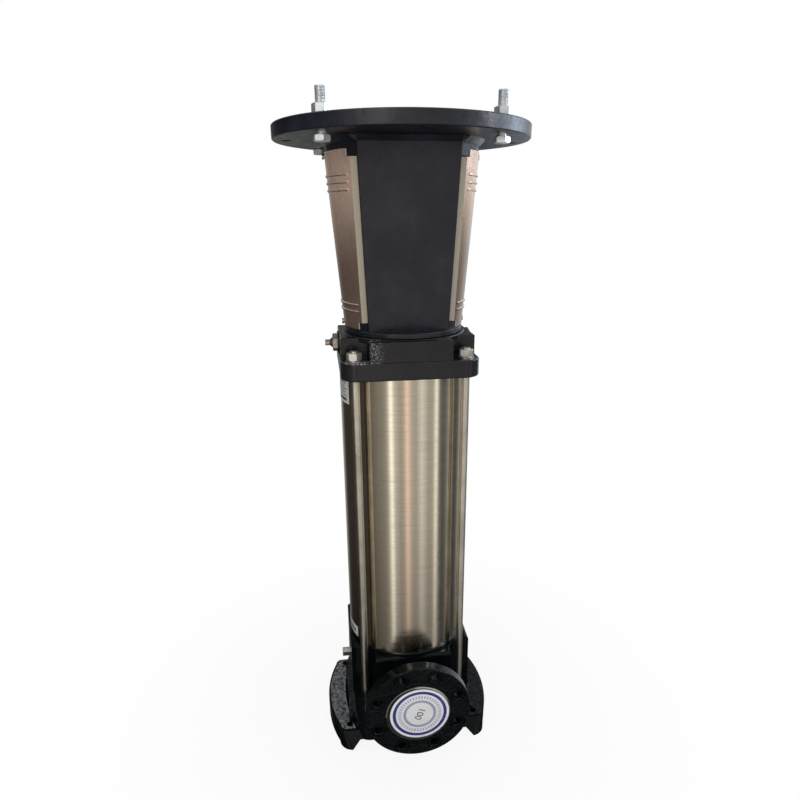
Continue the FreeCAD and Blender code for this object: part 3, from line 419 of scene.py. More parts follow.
def capRimHighlight(tree, x, y, z):
    # painted highlight on the raised rim of a port cover, brightest between twelve and two o'clock
    lifted = compute(tree, "SUBTRACT", z, capHighlight["height"])
    distance = distanceOf(tree, x, lifted)
    ring = product(tree, spread(tree, distance, *capHighlight["ringStart"]),
                   spread(tree, distance, *capHighlight["ringEnd"], 1.0, 0.0))
    turn = compute(tree, "ARCTAN2", lifted, x)
    return product(tree, ring, spread(tree, turn, *capHighlight["fadeIn"]),
                   spread(tree, turn, *capHighlight["fadeOut"], 1.0, capHighlight["leftShare"]))


headPanel = {"fade": (-0.045, -0.085), "front": -0.1, "above": 0.864}


def panelCorner(tree, x, y, z):
    # rough casting at the left end of the head's front panel, fading to the right, whose pale specks are
    # painted glints
    across = spread(tree, x, *headPanel["fade"])
    front = compute(tree, "LESS_THAN", y, headPanel["front"])
    return product(tree, across, front, compute(tree, "GREATER_THAN", z, headPanel["above"]))


baseLook = {"dark": (0.0016, 0.0024, 0.003), "light": (0.0034, 0.0048, 0.0058), "gloss": (0.07, 0.2),
            "drift": 14, "skin": 90, "skinDepth": 0.0005, "grainDepth": 0.00006, "specular": 0.17,
            "patch": footPads, "speck": 120, "speckBand": (0.3, 0.72), "speckDepth": 0.0002,
            "tint": (0.8, 0.96, 1.0), "paleSpecksAndGlints": (0.42, 0.425, 0.44), "rings": holeRings, "ringDepth": 0.003,
            "edge": 0.0022}
# the head's pale specks at its panel corner are painted glints on rough casting
headLook = {"dark": (0.0075, 0.0078, 0.0102), "light": (0.013, 0.0135, 0.0165), "gloss": (0.16, 0.3),
            "drift": 12, "skin": 170, "skinDepth": 0.0005, "grainDepth": 0.0001, "specular": 0.38,
            "patch": panelCorner, "speck": 330, "speckBand": (0.53, 0.6), "speckDepth": 0.0006,
            "paleSpecksAndGlints": (0.62, 0.62, 0.64), "edge": 0.0016}
stoolLook = {"dark": (0.0068, 0.0082, 0.0145), "light": (0.0155, 0.0178, 0.0275), "gloss": (0.26, 0.4),
             "drift": 16, "skin": 75, "skinDepth": 0.0009, "grainDepth": 0.00015, "specular": 0.4,
             "edge": 0.001}


# the top, bottom, lip, crest and under tones are painted light: painted reflection paler at the top and on
# the forward lips, painted shade lower down and under the beads, a painted highlight on the beads' crests
guardLook = {"low": 0.965, "high": 1.25, "bottom": (0.25, 0.175, 0.135), "top": (1.0, 0.74, 0.59),
             "lipReflection": (0.42, 0.4, 0.32), "crest": (0.95, 0.84, 0.74), "under": (0.12, 0.085, 0.07),
             "drift": 14, "driftShare": 0.3, "streak": 0.05, "gloss": (0.25, 0.31), "metallic": 0.6,
             "edge": 0.0004, "stretch": (140.0, 140.0, 9.0), "lines": (1.0, 3, 0.5), "depth": 0.00001,
             "strength": 0.3, "toneBand": (0.1, 1.2), "streakBand": (0.35, 0.7), "glossBand": (0.25, 0.75),
             "lipReflectionBand": (-0.88, -0.95), "crestBand": (0.0, 0.3), "underShadeBand": (-0.4, -0.7)}


def guardSheet(look):
    # bent sheet steel: painted reflection makes the tone fall with height and the forward-facing folded
    # lips paler, the beads' upper sides take a painted highlight and their undersides painted shade, and
    # fine streaks run up and down
    material, tree, shader = newMaterial("guardSteel")
    point, place = objectPoint(tree)
    lines = noise(tree, stretched(tree, place, look["stretch"]), *look["lines"])
    drift = product(tree, noise(tree, point, look["drift"]), look["driftShare"])
    height = compute(tree, "ADD", spread(tree, place[2], look["low"], look["high"]), drift)
    _, forward, upward = trueNormal(tree)
    # painted reflection at the top and painted shade lower down, by height
    colour = mixColour(tree, spread(tree, height, *look["toneBand"]), look["bottom"], look["top"])
    streaks = spread(tree, lines, *look["streakBand"], 0, look["streak"])
    colour = mixColour(tree, streaks, colour, look["bottom"])
    # painted shade under the beads, a painted highlight on their crests and a painted reflection on the
    # lips
    colour = mixColour(tree, spread(tree, upward, *look["underShadeBand"]), colour, look["under"])
    colour = mixColour(tree, spread(tree, upward, *look["crestBand"]), colour, look["crest"])
    colour = mixColour(tree, spread(tree, forward, *look["lipReflectionBand"]), colour, look["lipReflection"])
    tree.links.new(colour, shader.inputs["Base Color"])
    tree.links.new(spread(tree, lines, *look["glossBand"], *look["gloss"]), shader.inputs["Roughness"])
    shader.inputs["Metallic"].default_value = look["metallic"]
    raised(tree, shader, [(lines, look["depth"], look["strength"])], look["edge"])
    return material


finishes = {
    "base_paint": castPaint("basePaint", baseLook),
    "head_paint": castPaint("headPaint", headLook),
    "stool_paint": castPaint("stoolPaint", stoolLook),
    "guard_steel": guardSheet(guardLook),
    "stay_steel": metal("staySteel", {
        "dark": (0.46, 0.44, 0.38), "light": (0.68, 0.65, 0.56), "stretch": (400, 400, 30), "drift": 12,
        "streak": 0.2, "gloss": (0.26, 0.4), "depth": 0.00005, "edge": 0.0003}),
    "washer_steel": metal("washerSteel", {
        "dark": (0.45, 0.43, 0.4), "light": (0.62, 0.6, 0.56), "stretch": (300, 300, 300), "drift": 40,
        "streak": 0.3, "gloss": (0.28, 0.42), "depth": 0.00005, "edge": 0.0004}),
    "nut_zinc": metal("nutZinc", {
        "dark": (0.6, 0.57, 0.51), "light": (0.78, 0.75, 0.68), "stretch": (250, 250, 250), "drift": 50,
        "streak": 0.3, "gloss": (0.24, 0.4), "depth": 0.00006, "edge": 0.0005, "metallic": 0.8}),
    "bolt_zinc": metal("boltZinc", {
        "dark": (0.62, 0.66, 0.69), "light": (0.78, 0.82, 0.85), "stretch": (250, 250, 250), "drift": 50,
        "streak": 0.3, "gloss": (0.26, 0.4), "depth": 0.00006, "edge": 0.0005, "metallic": 0.75}),
    "plug_steel": metal("plugSteel", {
        "dark": (0.4, 0.38, 0.34), "light": (0.6, 0.57, 0.52), "stretch": (300, 300, 300), "drift": 40,
        "streak": 0.3, "gloss": (0.25, 0.4), "depth": 0.00006, "edge": 0.0005}),
    "vent_steel": metal("ventSteel", {
        "dark": (0.45, 0.42, 0.38), "light": (0.66, 0.62, 0.57), "stretch": (300, 300, 300), "drift": 60,
        "streak": 0.3, "gloss": (0.22, 0.36), "depth": 0.00006, "edge": 0.0004}),
    "guard_screw_steel": metal("guardScrewSteel", {
        "dark": (0.45, 0.42, 0.39), "light": (0.62, 0.6, 0.56), "stretch": (300, 300, 300), "drift": 60,
        "streak": 0.3, "gloss": (0.22, 0.36), "depth": 0.00006, "edge": 0.0003}),
    "stage_steel": metal("stageSteel", {
        "dark": (0.5, 0.48, 0.45), "light": (0.62, 0.6, 0.56), "stretch": (60, 60, 700), "drift": 12,
        "streak": 0.2, "gloss": (0.28, 0.42), "depth": 0.00005, "edge": 0}),
    "impeller_steel": metal("impellerSteel", {
        "dark": (0.48, 0.47, 0.45), "light": (0.6, 0.59, 0.57), "stretch": (200, 200, 200), "drift": 14,
        "streak": 0.2, "gloss": (0.3, 0.42), "depth": 0.00005, "edge": 0}),
    "shaft_steel": metal("shaftSteel", {
        "dark": (0.5, 0.49, 0.47), "light": (0.62, 0.61, 0.59), "stretch": (60, 60, 1500), "drift": 12,
        "streak": 0.25, "gloss": (0.14, 0.26), "depth": 0.00004, "edge": 0}),
    "seal_head_steel": metal("sealHeadSteel", {
        "dark": (0.5, 0.49, 0.47), "light": (0.62, 0.61, 0.59), "stretch": (60, 60, 1500), "drift": 20,
        "streak": 0.25, "gloss": (0.2, 0.3), "depth": 0.00004, "edge": 0}),
    "gland_iron": metal("glandIron", {
        "dark": (0.2, 0.2, 0.21), "light": (0.3, 0.3, 0.31), "stretch": (300, 300, 300), "drift": 20,
        "streak": 0.3, "gloss": (0.35, 0.5), "depth": 0.0001, "edge": 0}),
    "coupling_iron": metal("couplingIron", {
        "dark": (0.22, 0.22, 0.23), "light": (0.34, 0.34, 0.35), "stretch": (80, 80, 900), "drift": 20,
        "streak": 0.3, "gloss": (0.32, 0.46), "depth": 0.0001, "edge": 0}),
    "coupling_screw_steel": metal("couplingScrewSteel", {
        "dark": (0.06, 0.06, 0.065), "light": (0.1, 0.1, 0.105), "stretch": (300, 300, 300), "drift": 50,
        "streak": 0.3, "gloss": (0.3, 0.42), "depth": 0.00006, "edge": 0}),
    "cover_plastic": plain("coverPlastic", {
        "dark": (0.006, 0.006, 0.007), "light": (0.012, 0.012, 0.013), "grain": 900, "drift": 30,
        # the cover's rim tone is a painted highlight
        "gloss": (0.22, 0.34), "depth": 0.00006, "edge": 0.0006, "rim": capRimHighlight,
        "rimTone": (0.5, 0.48, 0.44)}),
    "seal_rubber": plain("sealRubber", {
        "dark": (0.012, 0.012, 0.012), "light": (0.022, 0.022, 0.022), "grain": 700, "drift": 30,
        "gloss": (0.5, 0.65), "depth": 0.0001, "edge": 0}),
    "bearing_carbon": plain("bearingCarbon", {
        "dark": (0.03, 0.03, 0.032), "light": (0.05, 0.05, 0.052), "grain": 1200, "drift": 60,
        "gloss": (0.4, 0.55), "depth": 0.00005, "edge": 0}),
    "seat_carbon": plain("seatCarbon", {
        "dark": (0.03, 0.03, 0.032), "light": (0.05, 0.05, 0.052), "grain": 1200, "drift": 60,
        "gloss": (0.25, 0.4), "depth": 0.00005, "edge": 0}),
}


sleeveLook = {"radius": 0.1257, "light": (0.76, 0.69, 0.56), "dark": (0.5, 0.45, 0.36),
              "stain": (0.6, 0.53, 0.43), "gloss": (0.13, 0.19), "brushed": 0.92, "brushTurn": 0.25,
              "fineScale": (16.0, 900.0), "fine": (1.0, 5, 0.65), "fineBand": (0.35, 0.75, 0, 0.55),
              "broadScale": (9.0, 130.0), "broad": (1.0, 4, 0.6), "broadBand": (0.5, 0.8, 0, 0.15),
              "broadAway": 3.0, "stains": (11.0, 4), "stainBand": (0.45, 0.8, 0, 0.3),
              "depth": 0.000012, "strength": 0.4}


def sleeveSteel(look):
    # brushed stainless sheet: scratches are a noise whose lines run round the sleeve,
    # so x is the arc length seen from the front and z is stretched many times over it
    material, tree, shader = newMaterial("sleeveSteel")
    point, (x, y, z) = objectPoint(tree)
    turn = compute(tree, "ARCTAN2", x, product(tree, y, -1.0))
    arc = product(tree, turn, look["radius"])
    finePlace = [product(tree, value, scale) for value, scale in zip((arc, z), look["fineScale"])]
    fine = noise(tree, joinedPoint(tree, *finePlace, 0.0), *look["fine"])
    broadPlace = [product(tree, value, scale) for value, scale in zip((arc, z), look["broadScale"])]
    broad = noise(tree, joinedPoint(tree, *broadPlace, look["broadAway"]), *look["broad"])
    stain = noise(tree, point, *look["stains"])
    colour = mixColour(tree, spread(tree, fine, *look["fineBand"]), look["light"], look["dark"])
    colour = mixColour(tree, spread(tree, stain, *look["stainBand"]), colour, look["stain"])
    colour = mixColour(tree, spread(tree, broad, *look["broadBand"]), colour, look["dark"])
    tree.links.new(colour, shader.inputs["Base Color"])
    tree.links.new(spread(tree, broad, *noiseBand, *look["gloss"]), shader.inputs["Roughness"])
    shader.inputs["Metallic"].default_value = 1.0
    shader.inputs["Anisotropic"].default_value = look["brushed"]
    shader.inputs["Anisotropic Rotation"].default_value = look["brushTurn"]
    tangent = tree.nodes.new("ShaderNodeTangent")
    tangent.direction_type = "RADIAL"
    tangent.axis = "Z"
    tree.links.new(tangent.outputs[0], shader.inputs["Tangent"])
    raised(tree, shader, [(fine, look["depth"], look["strength"])], 0)
    return material


finishes["sleeve_steel"] = sleeveSteel(sleeveLook)
print("finishes made:", len(finishes))

nodeFinish = {
    "base_casting": "base_paint", "pump_head": "head_paint", "motor_stool": "stool_paint",
    "inlet_cover": "cover_plastic", "outlet_cover": "cover_plastic", "drain_plug": "plug_steel",
    "outer_sleeve": "sleeve_steel", "sleeve_seals": "seal_rubber", "stay_bolts": "stay_steel",
    "stay_bolt_washers": "washer_steel", "stay_bolt_nuts": "nut_zinc", "priming_plug": "plug_steel",
    "vent_screw": "vent_steel", "blind_plug": "plug_steel", "stool_screws": "bolt_zinc",
    "guard_left": "guard_steel", "guard_right": "guard_steel", "guard_screws": "guard_screw_steel",
    "motor_bolts": "bolt_zinc", "motor_bolt_nuts": "bolt_zinc", "inlet_piece": "stage_steel",
    "shaft_bearings": "bearing_carbon", "shaft_spacers": "shaft_steel", "discharge_piece": "stage_steel",
    "pump_shaft": "shaft_steel", "shaft_end_nut": "shaft_steel", "seal_gland": "gland_iron",
    "gland_screws": "bolt_zinc", "seal_seat": "seat_carbon", "seal_head": "seal_head_steel",
    "coupling_half_left": "coupling_iron", "coupling_half_right": "coupling_iron",
    "coupling_screws": "coupling_screw_steel", "coupling_pin": "shaft_steel",
}
for number in range(1, 7):
    nodeFinish[f"stage_chamber_{number}"] = "stage_steel"
    nodeFinish[f"impeller_{number}"] = "impeller_steel"
for nodeName, slotName in nodeFinish.items():
    node = nodes[nodeName]
    if not node.material_slots:
        node.data.materials.append(finishes[slotName])
    for materialSlot in node.material_slots:
        materialSlot.material = finishes[slotName]
print("nodes finished:", len(nodeFinish))


motorBolt = {"dia": 0.016, "flats": 0.024, "head": 0.010, "circle": 0.400, "pitch": 0.002, "depth": 0.0008,
             "thread": 0.046, "rearLift": 0.0047, "first": 45, "turn": 10, "nutTurn": 25, "sunk": 0.001,
             "play": 0.0001}


def threadTo(tip, look):
    # the thread runs out past the tip, so that it isn't faded there
    return [(tip - look["thread"], tip + rodEnd["past"])]


def motorBolts(look):
    low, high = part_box("motor_bolts")
    nutLow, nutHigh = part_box("motor_bolt_nuts")
    length, radius = high.z - low.z - look["rearLift"], look["dia"] / 2
    parts, nuts = [], []
    for number in range(4):
        angle = math.radians(look["first"] + 90 * number)
        x, y = look["circle"] / 2 * math.cos(angle), look["circle"] / 2 * math.sin(angle)
        under = low.z + (look["rearLift"] if y > 0 else 0)
        headTop, tip = under + look["head"], under + length
        start = headTop - look["sunk"]
        rod = threadedRod(radius, start, tip, threadTo(tip, look), look["pitch"], look["depth"])
        head = hexBody(look["flats"], under, headTop, turn=look["turn"])
        nut = hexBody(look["flats"], nutLow.z, nutHigh.z, radius + look["play"], look["nutTurn"])
        parts += [shifted(rod, x, y), shifted(head, x, y)]
        nuts.append(shifted(nut, x, y))
    finish = finishes["bolt_zinc"]
    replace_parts(buildPiece("motorBolts", parts, finish, "pump"), "motor_bolts")
    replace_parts(buildPiece("motorBoltNuts", nuts, finish, "pump"), "motor_bolt_nuts")


motorBolts(motorBolt)

stayBolt = {"dia": 0.016, "flats": 0.024, "apart": 0.204, "pitch": 0.002, "depth": 0.0008, "thread": 0.05,
            "play": 0.0001, "turns": (15, -15, 0, 15)}


def stayBolts(look):
    low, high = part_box("stay_bolts")
    nutLow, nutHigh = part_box("stay_bolt_nuts")
    rods, nuts = [], []
    away, radius = look["apart"] / 2, look["dia"] / 2
    places = [(x, y) for x in (-away, away) for y in (-away, away)]
    for (x, y), turn in zip(places, look["turns"]):
        rod = threadedRod(radius, low.z, high.z, threadTo(high.z, look), look["pitch"], look["depth"])
        nut = hexBody(look["flats"], nutLow.z, nutHigh.z, radius + look["play"], turn)
        rods.append(shifted(rod, x, y))
        nuts.append(shifted(nut, x, y))
    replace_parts(buildPiece("stayRods", rods, finishes["stay_steel"], "pump"), "stay_bolts")
    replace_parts(buildPiece("stayNuts", nuts, finishes["nut_zinc"], "pump"), "stay_bolt_nuts")


stayBolts(stayBolt)
print("fasteners built")


# profile: distance from the port's centre line, then how far past the flange's face
portCap = {
    "reach": 0.1903, "height": 0.14, "count": 128, "sharp": 40, "profile": [
        (0, 0.0010), (0.0457, 0.0010), (0.0457, -0.0115), (0.0462, -0.012), (0.0485, -0.012),
        (0.0497, -0.0108), (0.0497, 0), (0.0674, 0), (0.0680, 0.0005), (0.0680, 0.0023), (0.0674, 0.0030),
        (0.0659, 0.0030), (0.0652, 0.0022), (0.0645, 0.0020), (0, 0.0020)]}
capLabel = {
    "radius": 0.062, "rise": 0.0003, "offset": 0.0025, "sunk": 0.0001, "chamfer": 0.0004,
    "shoulder": 0.6, "rings": [
        (0.0, (0.76, 0.76, 0.77)), (0.0285, (0.3, 0.33, 0.45)), (0.0343, (0.76, 0.76, 0.77)),
        (0.0498, (0.01, 0.025, 0.2)), (0.0562, (0.8, 0.8, 0.81)), (0.0614, (0.5, 0.49, 0.48))],
    "marks": (0.0385, 0.0455), "markTone": (0.25, 0.26, 0.36), "markCount": 44, "markLevel": 0.1,
    "markShare": 0.8, "smudge": (60.0, 4), "smudgeBand": (0.4, 0.75, 0, 0.12),
    "smudgeTone": (0.45, 0.44, 0.42), "gloss": (0.28, 0.42), "glossScale": 400.0, "paperScale": 250.0,
    "depth": 0.00008, "strength": 0.4}
portNumber = {"words": "100", "size": 0.0205, "reading": (-0.4, -0.917), "thick": 0.00004}


def labelPrint(look):
    # rings of colour by distance from the label's centre, and a band of plain dashes
    material, tree, shader = newMaterial("labelPrint")
    point, (x, _, z) = objectPoint(tree)
    lifted = compute(tree, "SUBTRACT", z, portCap["height"])
    aside = compute(tree, "SUBTRACT", x, look["offset"])
    distance = distanceOf(tree, aside, lifted)
    printed = rampOf(tree, compute(tree, "DIVIDE", distance, look["radius"]),
                     [(radius / look["radius"], colour) for radius, colour in look["rings"]], "CONSTANT")
    turn = compute(tree, "ARCTAN2", lifted, aside)
    wave = compute(tree, "SINE", product(tree, turn, look["markCount"]))
    dashes = compute(tree, "GREATER_THAN", wave, look["markLevel"])
    marked = product(tree, dashes, within(tree, distance, *look["marks"]), look["markShare"])
    printed = mixColour(tree, marked, printed, look["markTone"])
    smudge = spread(tree, noise(tree, point, *look["smudge"]), *look["smudgeBand"])
    tree.links.new(mixColour(tree, smudge, printed, look["smudgeTone"]), shader.inputs["Base Color"])
    gloss = spread(tree, noise(tree, point, look["glossScale"]), *noiseBand, *look["gloss"])
    tree.links.new(gloss, shader.inputs["Roughness"])
    raised(tree, shader, [(noise(tree, point, look["paperScale"]), look["depth"], look["strength"])], 0)
    return material


def portCaps(look, label):
    paper = labelPrint(label)
    face = look["profile"][-1][1]
    for side, end, body, node in ((-1, "Front", "inlet_cap", "inlet_cover"),
                                  (1, "Rear", "outlet_cap", "outlet_cover")):
        shell = pointed(revolve(look["profile"], look["count"]), (0, side, 0))
        shell = shifted(shell, 0, side * look["reach"], look["height"])
        cap = buildPiece("portCap" + end, [shell], finishes["cover_plastic"], body,
                         look["sharp"])
        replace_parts(cap, node)
        radius, top = label["radius"], face + label["rise"]
        disc = [(radius, face - label["sunk"]), (radius, face + label["rise"] * label["shoulder"]),
                (radius - label["chamfer"], top), (0, top)]
        sheet = pointed(revolve(disc, look["count"]), (0, side, 0))
        sheet = shifted(sheet, label["offset"], side * look["reach"], look["height"])
        buildPiece("capLabel" + end, [sheet], paper, body, look["sharp"])


def numbers(look, label):
    # plain nominal bore in millimetres on each label; reading is the writing direction in x and z
    ink = plain("labelInk", {"dark": (0.012, 0.014, 0.03), "light": (0.03, 0.032, 0.05), "grain": 900,
                             "drift": 200, "gloss": (0.35, 0.5), "depth": 0.00002, "edge": 0})
    curve = bpy.data.curves.new("portNumberCurve", "FONT")
    curve.body, curve.size, curve.extrude = look["words"], look["size"], look["thick"]
    curve.align_x, curve.align_y = "CENTER", "CENTER"
    writing = bpy.data.objects.new("portNumberCurve", curve)
    scene.collection.objects.link(writing)
    shapes = bpy.context.evaluated_depsgraph_get()
    flat = bpy.data.meshes.new_from_object(writing.evaluated_get(shapes))
    bpy.data.objects.remove(writing)
    points = np.zeros(len(flat.vertices) * 3)
    flat.vertices.foreach_get("co", points)
    across, lift, depth = points.reshape(-1, 3).T
    dx, dz = look["reading"]
    face = portCap["reach"] + portCap["profile"][-1][1] + label["rise"] + look["thick"]
    for side, end, body in ((-1, "Front", "inlet_cap"), (1, "Rear", "outlet_cap")):
        mesh = flat.copy()
        placed = np.stack([-side * (across * dx - lift * dz) + label["offset"], side * (face + depth),
                           across * dz + lift * dx + portCap["height"]], -1)
        mesh.vertices.foreach_set("co", placed.ravel())
        mesh.materials.clear()
        mesh.materials.append(ink)
        piece = bpy.data.objects.new("portNumber" + end, mesh)
        scene.collection.objects.link(piece)
        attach(piece, body)


portCaps(portCap, capLabel)
numbers(portNumber, capLabel)
print("port caps built")


# places: name, first and last direction in degrees from +x, lower and upper edge
sleeveLabels = {"radius": 0.1257, "lift": 0.0001, "sheet": 0.00025, "places": [
    ("sleeveLabelUpper", 150, 207, 0.771, 0.826), ("sleeveLabelLower", 176, 207, 0.2405, 0.265)]}
# bars: lower and upper edge, how dark, and where they end in degrees from -x
labelFilm = {"pale": (0.5, 0.5, 0.47), "soiled": (0.36, 0.36, 0.33), "soil": (260.0, 4),
             "soilBand": (0.42, 0.7), "gloss": (0.3, 0.45), "ink": (0.03, 0.03, 0.035), "bars": [
                 (0.776, 0.7815, 0.95, -22.5), (0.7855, 0.7875, 0.75, -24), (0.792, 0.7945, 0.75, -21),
                 (0.798, 0.8005, 0.8, -23.5), (0.804, 0.8065, 0.7, -20), (0.81, 0.8125, 0.8, -23),
                 (0.816, 0.8185, 0.7, -22), (0.247, 0.254, 0.95, -22.5), (0.2575, 0.2595, 0.75, -19)]}


def labelSheet(look, start, stop, low, high, count=48, rows=12):
    # a sheet bent round the sleeve: outer face at radius + lift + sheet, inner face at radius + lift
    angle = np.radians(np.linspace(start, stop, count))
    level = np.linspace(low, high, rows)
    inner = look["radius"] + look["lift"]
    outer = inner + look["sheet"]
    path = [(inner, low)] + [(outer, height) for height in level] + [(inner, high), (inner, low)]
    r, h = np.array(path).T
    x, y = np.outer(r, np.cos(angle)), np.outer(r, np.sin(angle))
    points = np.stack([x, y, np.outer(h, np.ones(count))], -1)
    return points.reshape(-1, 3), gridQuads(len(r), count, closed=False)


def sheetPrint(name, look):
    # pale film with faint soiling and plain dark bars; the turn round the sleeve counts from -x and
    # falls towards the front
    material, tree, shader = newMaterial(name)
    point, (x, y, z) = objectPoint(tree)
    soil = noise(tree, point, *look["soil"])
    colour = mixColour(tree, spread(tree, soil, *look["soilBand"]), look["pale"], look["soiled"])
    turn = compute(tree, "ARCTAN2", y, product(tree, x, -1.0))
    for low, high, share, end in look["bars"]:
        inside = compute(tree, "GREATER_THAN", turn, math.radians(end))
        printed = product(tree, within(tree, z, low, high), inside, share)
        colour = mixColour(tree, printed, colour, look["ink"])
    tree.links.new(colour, shader.inputs["Base Color"])
    tree.links.new(spread(tree, soil, *noiseBand, *look["gloss"]), shader.inputs["Roughness"])
    return material


def stickers(look, film):
    material = sheetPrint("sleeveLabelFilm", film)
    for name, start, stop, low, high in look["places"]:
        buildPiece(name, [labelSheet(look, start, stop, low, high)], material, "pump")


stickers(sleeveLabels, labelFilm)
print("sleeve labels built")


def floorMaterial(look):
    # pale matt floor near the object that turns to plain white further out
    material, tree, shader = newMaterial("floor")
    point, (x, y, _) = objectPoint(tree)
    grain = noise(tree, point, look["grain"])
    distance = distanceOf(tree, x, y)
    tree.links.new(mixColour(tree, grain, look["colour"], look["second"]), shader.inputs["Base Color"])
    shader.inputs["Roughness"].default_value = look["roughness"]
    shader.inputs["Specular IOR Level"].default_value = look["specular"]
    glow = tree.nodes.new("ShaderNodeEmission")
    path = tree.nodes.new("ShaderNodeLightPath")
    far = spread(tree, distance, look["fadeStart"], look["fadeEnd"], look["whiteShare"], 1.0)
    mix = tree.nodes.new("ShaderNodeMixShader")
    share = product(tree, far, path.outputs["Is Camera Ray"])
    tree.links.new(share, mix.inputs[0])
    tree.links.new(shader.outputs[0], mix.inputs[1])
    tree.links.new(glow.outputs[0], mix.inputs[2])
    tree.links.new(mix.outputs[0], tree.nodes["Material Output"].inputs[0])
    return material


def stageMesh(name, points, quads, material):
    mesh = bpy.data.meshes.new(name)
    mesh.from_pydata(points.tolist(), [], quads.tolist())
    mesh.materials.append(material)
    piece = bpy.data.objects.new(name, mesh)
    scene.collection.objects.link(piece)
    return piece


def reflectionOnly(piece):
    piece.visible_camera = False
    piece.visible_diffuse = False
    piece.visible_shadow = False
    piece.visible_transmission = False


floorLook = {"size": 14.0, "colour": (0.86, 0.86, 0.86), "second": (0.84, 0.84, 0.84), "fadeStart": 0.2,
             "fadeEnd": 0.9, "whiteShare": 0.9, "grain": 30.0, "roughness": 0.9, "specular": 0.1}
half = floorLook["size"] / 2
floorCorners = np.array([(-half, -half, 0), (half, -half, 0), (half, half, 0), (-half, half, 0)])
ground = stageMesh("floor", floorCorners, np.array([(0, 1, 2, 3)]), floorMaterial(floorLook))
ground.visible_glossy = False

# what the metal mirrors: direction in degrees from +x, then how bright the wall is there
studioWalls = {
    "radius": 3.0, "low": -5.0, "high": 4.0, "darkBelow": -2.9, "fullAbove": -0.5, "lowShare": 0.16,
    "peak": 2.0, "count": 96, "tones": [
        (-172, (0.03, 0.027, 0.025)), (-155, (0.095, 0.086, 0.078)), (-134, (0.155, 0.15, 0.135)),
        (-127, (0.24, 0.235, 0.22)), (-120, (0.82, 0.82, 0.77)), (-114, (0.34, 0.33, 0.32)),
        (-104, (0.22, 0.21, 0.2)), (-98, (0.29, 0.25, 0.22)), (-92, (0.58, 0.46, 0.4)),
        (-84, (0.29, 0.265, 0.255)), (-76, (0.24, 0.23, 0.22)), (-66, (0.44, 0.43, 0.42)),
        (-53, (0.22, 0.22, 0.21)), (-44, (0.25, 0.24, 0.23)), (-38, (0.66, 0.64, 0.61)),
        (-31, (0.095, 0.095, 0.095)), (-21, (0.04, 0.04, 0.04)), (-8, (0.15, 0.165, 0.19)),
        (6, (0.03, 0.029, 0.027)), (15, (0.04, 0.039, 0.037)), (26, (0.22, 0.21, 0.19)),
        (45, (0.45, 0.47, 0.48)), (62, (0.36, 0.38, 0.4)), (74, (0.035, 0.042, 0.055)),
        (92, (0.085, 0.09, 0.085)), (105, (0.2, 0.21, 0.2)), (124, (0.022, 0.019, 0.017)),
        (150, (0.022, 0.018, 0.017))]}


def wallMaterial(look):
    # emission by direction round the object
    material, tree, shader = newMaterial("walls")
    tree.nodes.remove(shader)
    _, (x, y, z) = objectPoint(tree)
    turn = compute(tree, "ADD", compute(tree, "ARCTAN2", y, x), math.pi)
    turn = compute(tree, "DIVIDE", turn, 2 * math.pi)
    tones = rampOf(tree, turn, [((azimuth + 180) / 360, tone) for azimuth, tone in look["tones"]], "LINEAR")
    glow = tree.nodes.new("ShaderNodeEmission")
    tree.links.new(tones, glow.inputs[0])
    lowPeak = look["lowShare"] * look["peak"]
    height = spread(tree, z, look["darkBelow"], look["fullAbove"], lowPeak, look["peak"])
    tree.links.new(height, glow.inputs[1])
    tree.links.new(glow.outputs[0], tree.nodes["Material Output"].inputs[0])
    return material


wallProfile = [(0.0, studioWalls["low"]), (studioWalls["radius"], studioWalls["low"]),
               (studioWalls["radius"], studioWalls["high"])]
wallPoints, wallQuads = revolve(wallProfile, studioWalls["count"])
reflectionOnly(stageMesh("studioWalls", wallPoints, wallQuads, wallMaterial(studioWalls)))

aimPoint = Vector((0, 0, 0.7))
windowGlows = [  # name, centre, width, height, colour, brightness: bright patches seen in gloss only
    ("windowHigh", (-0.87, -1.89, 2.03), 0.7, 0.7, (1.0, 0.98, 0.94), 6.0),
    ("windowBlue", (2.7, 0.5, 1.75), 1.5, 0.9, (0.72, 0.84, 1.0), 7.5),
    ("windowSide", (2.6, -0.92, 1.85), 0.5, 0.8, (0.88, 0.93, 1.0), 14.0)]


def glowPanel(name, centre, width, height, colour, brightness):
    middle = Vector(centre)
    toward = (aimPoint - middle).normalized()
    side = toward.cross(Vector((0, 0, 1))).normalized() * width / 2
    rise = side.cross(toward).normalized() * height / 2
    corners = [middle - side - rise, middle + side - rise, middle + side + rise, middle - side + rise]
    material, tree, shader = newMaterial(name)
    tree.nodes.remove(shader)
    glow = tree.nodes.new("ShaderNodeEmission")
    glow.inputs[0].default_value = (*colour, 1)
    glow.inputs[1].default_value = brightness
    tree.links.new(glow.outputs[0], tree.nodes["Material Output"].inputs[0])
    points = np.array([tuple(corner) for corner in corners])
    reflectionOnly(stageMesh(name, points, np.array([(0, 1, 2, 3)]), material))


for glowPlace in windowGlows:
    glowPanel(*glowPlace)


worldLook = {"seen": 1.0, "asLight": 0.55}


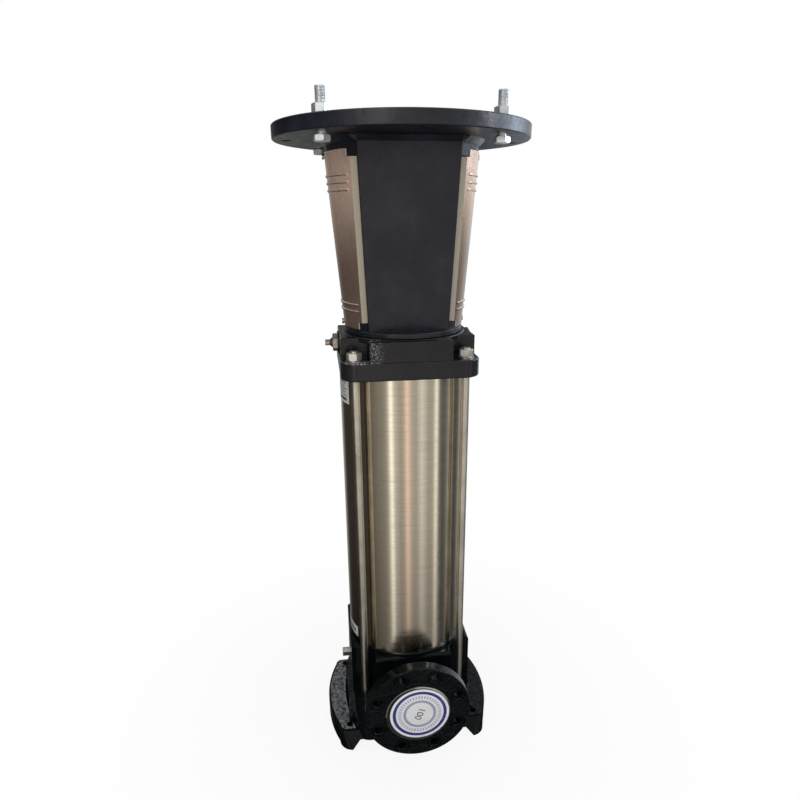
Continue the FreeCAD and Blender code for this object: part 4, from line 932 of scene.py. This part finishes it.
def studioWorld(look):
    # white behind the object and in its reflections, dimmer as a light
    world = bpy.data.worlds.new("studio")
    scene.world = world
    world.use_nodes = True
    tree = world.node_tree
    tree.nodes.clear()
    path = tree.nodes.new("ShaderNodeLightPath")
    mirrored = compute(tree, "MAXIMUM", path.outputs["Is Glossy Ray"], path.outputs["Is Transmission Ray"])
    seen = compute(tree, "MAXIMUM", path.outputs["Is Camera Ray"], mirrored)
    background = tree.nodes.new("ShaderNodeBackground")
    background.inputs[0].default_value = (1, 1, 1, 1)
    tree.links.new(spread(tree, seen, 0, 1, look["asLight"], look["seen"]), background.inputs[1])
    output = tree.nodes.new("ShaderNodeOutputWorld")
    tree.links.new(background.outputs[0], output.inputs[0])


studioWorld(worldLook)

lamps = [  # name, place, width, height, watts
    ("keyLamp", (-1.7, -2.2, 2.3), 1.6, 1.6, 26),
    ("fillLamp", (2.1, -1.7, 1.7), 1.2, 1.8, 14),
    ("backLamp", (0.6, 2.4, 2.2), 1.6, 1.6, 14)]
for name, place, width, height, watts in lamps:
    lamp = bpy.data.lights.new(name, "AREA")
    lamp.shape, lamp.size, lamp.size_y, lamp.energy = "RECTANGLE", width, height, watts
    lampObject = bpy.data.objects.new(name, lamp)
    lampObject.location = place
    lampObject.rotation_euler = (aimPoint - Vector(place)).to_track_quat("-Z", "Y").to_euler()
    lampObject.visible_glossy = False
    scene.collection.objects.link(lampObject)

# place in metres, turn, tilt and roll in degrees, lens in millimetres, fitted to the photo
view = {"place": (-0.1582, -1.1841, 1.1142), "turn": 8.12, "tilt": 19.4, "roll": 0.31, "lens": 27.7155,
        "sensor": 36, "nearest": 0.05, "shiftX": -0.01135, "shiftY": 0.0378}


def photoCamera(look):
    turn, tilt, roll = (math.radians(look[key]) for key in ("turn", "tilt", "roll"))
    forward = Vector((math.sin(turn) * math.cos(tilt), math.cos(turn) * math.cos(tilt), -math.sin(tilt)))
    level = Vector((math.cos(turn), -math.sin(turn), 0))
    down = forward.cross(level)
    right = math.cos(roll) * level + math.sin(roll) * down
    lower = -math.sin(roll) * level + math.cos(roll) * down
    camera = bpy.data.cameras.new("photoCamera")
    camera.lens, camera.sensor_width, camera.sensor_fit = look["lens"], look["sensor"], "HORIZONTAL"
    camera.shift_x, camera.shift_y = look["shiftX"], look["shiftY"]
    camera.clip_start = look["nearest"]
    cameraObject = bpy.data.objects.new("photoCamera", camera)
    turned = Matrix((right, -lower, -forward)).transposed().to_4x4()
    turned.translation = Vector(look["place"])
    cameraObject.matrix_world = turned
    scene.collection.objects.link(cameraObject)
    scene.camera = cameraObject


photoCamera(view)
scene.view_settings.view_transform = "Standard"
print("light and camera set")
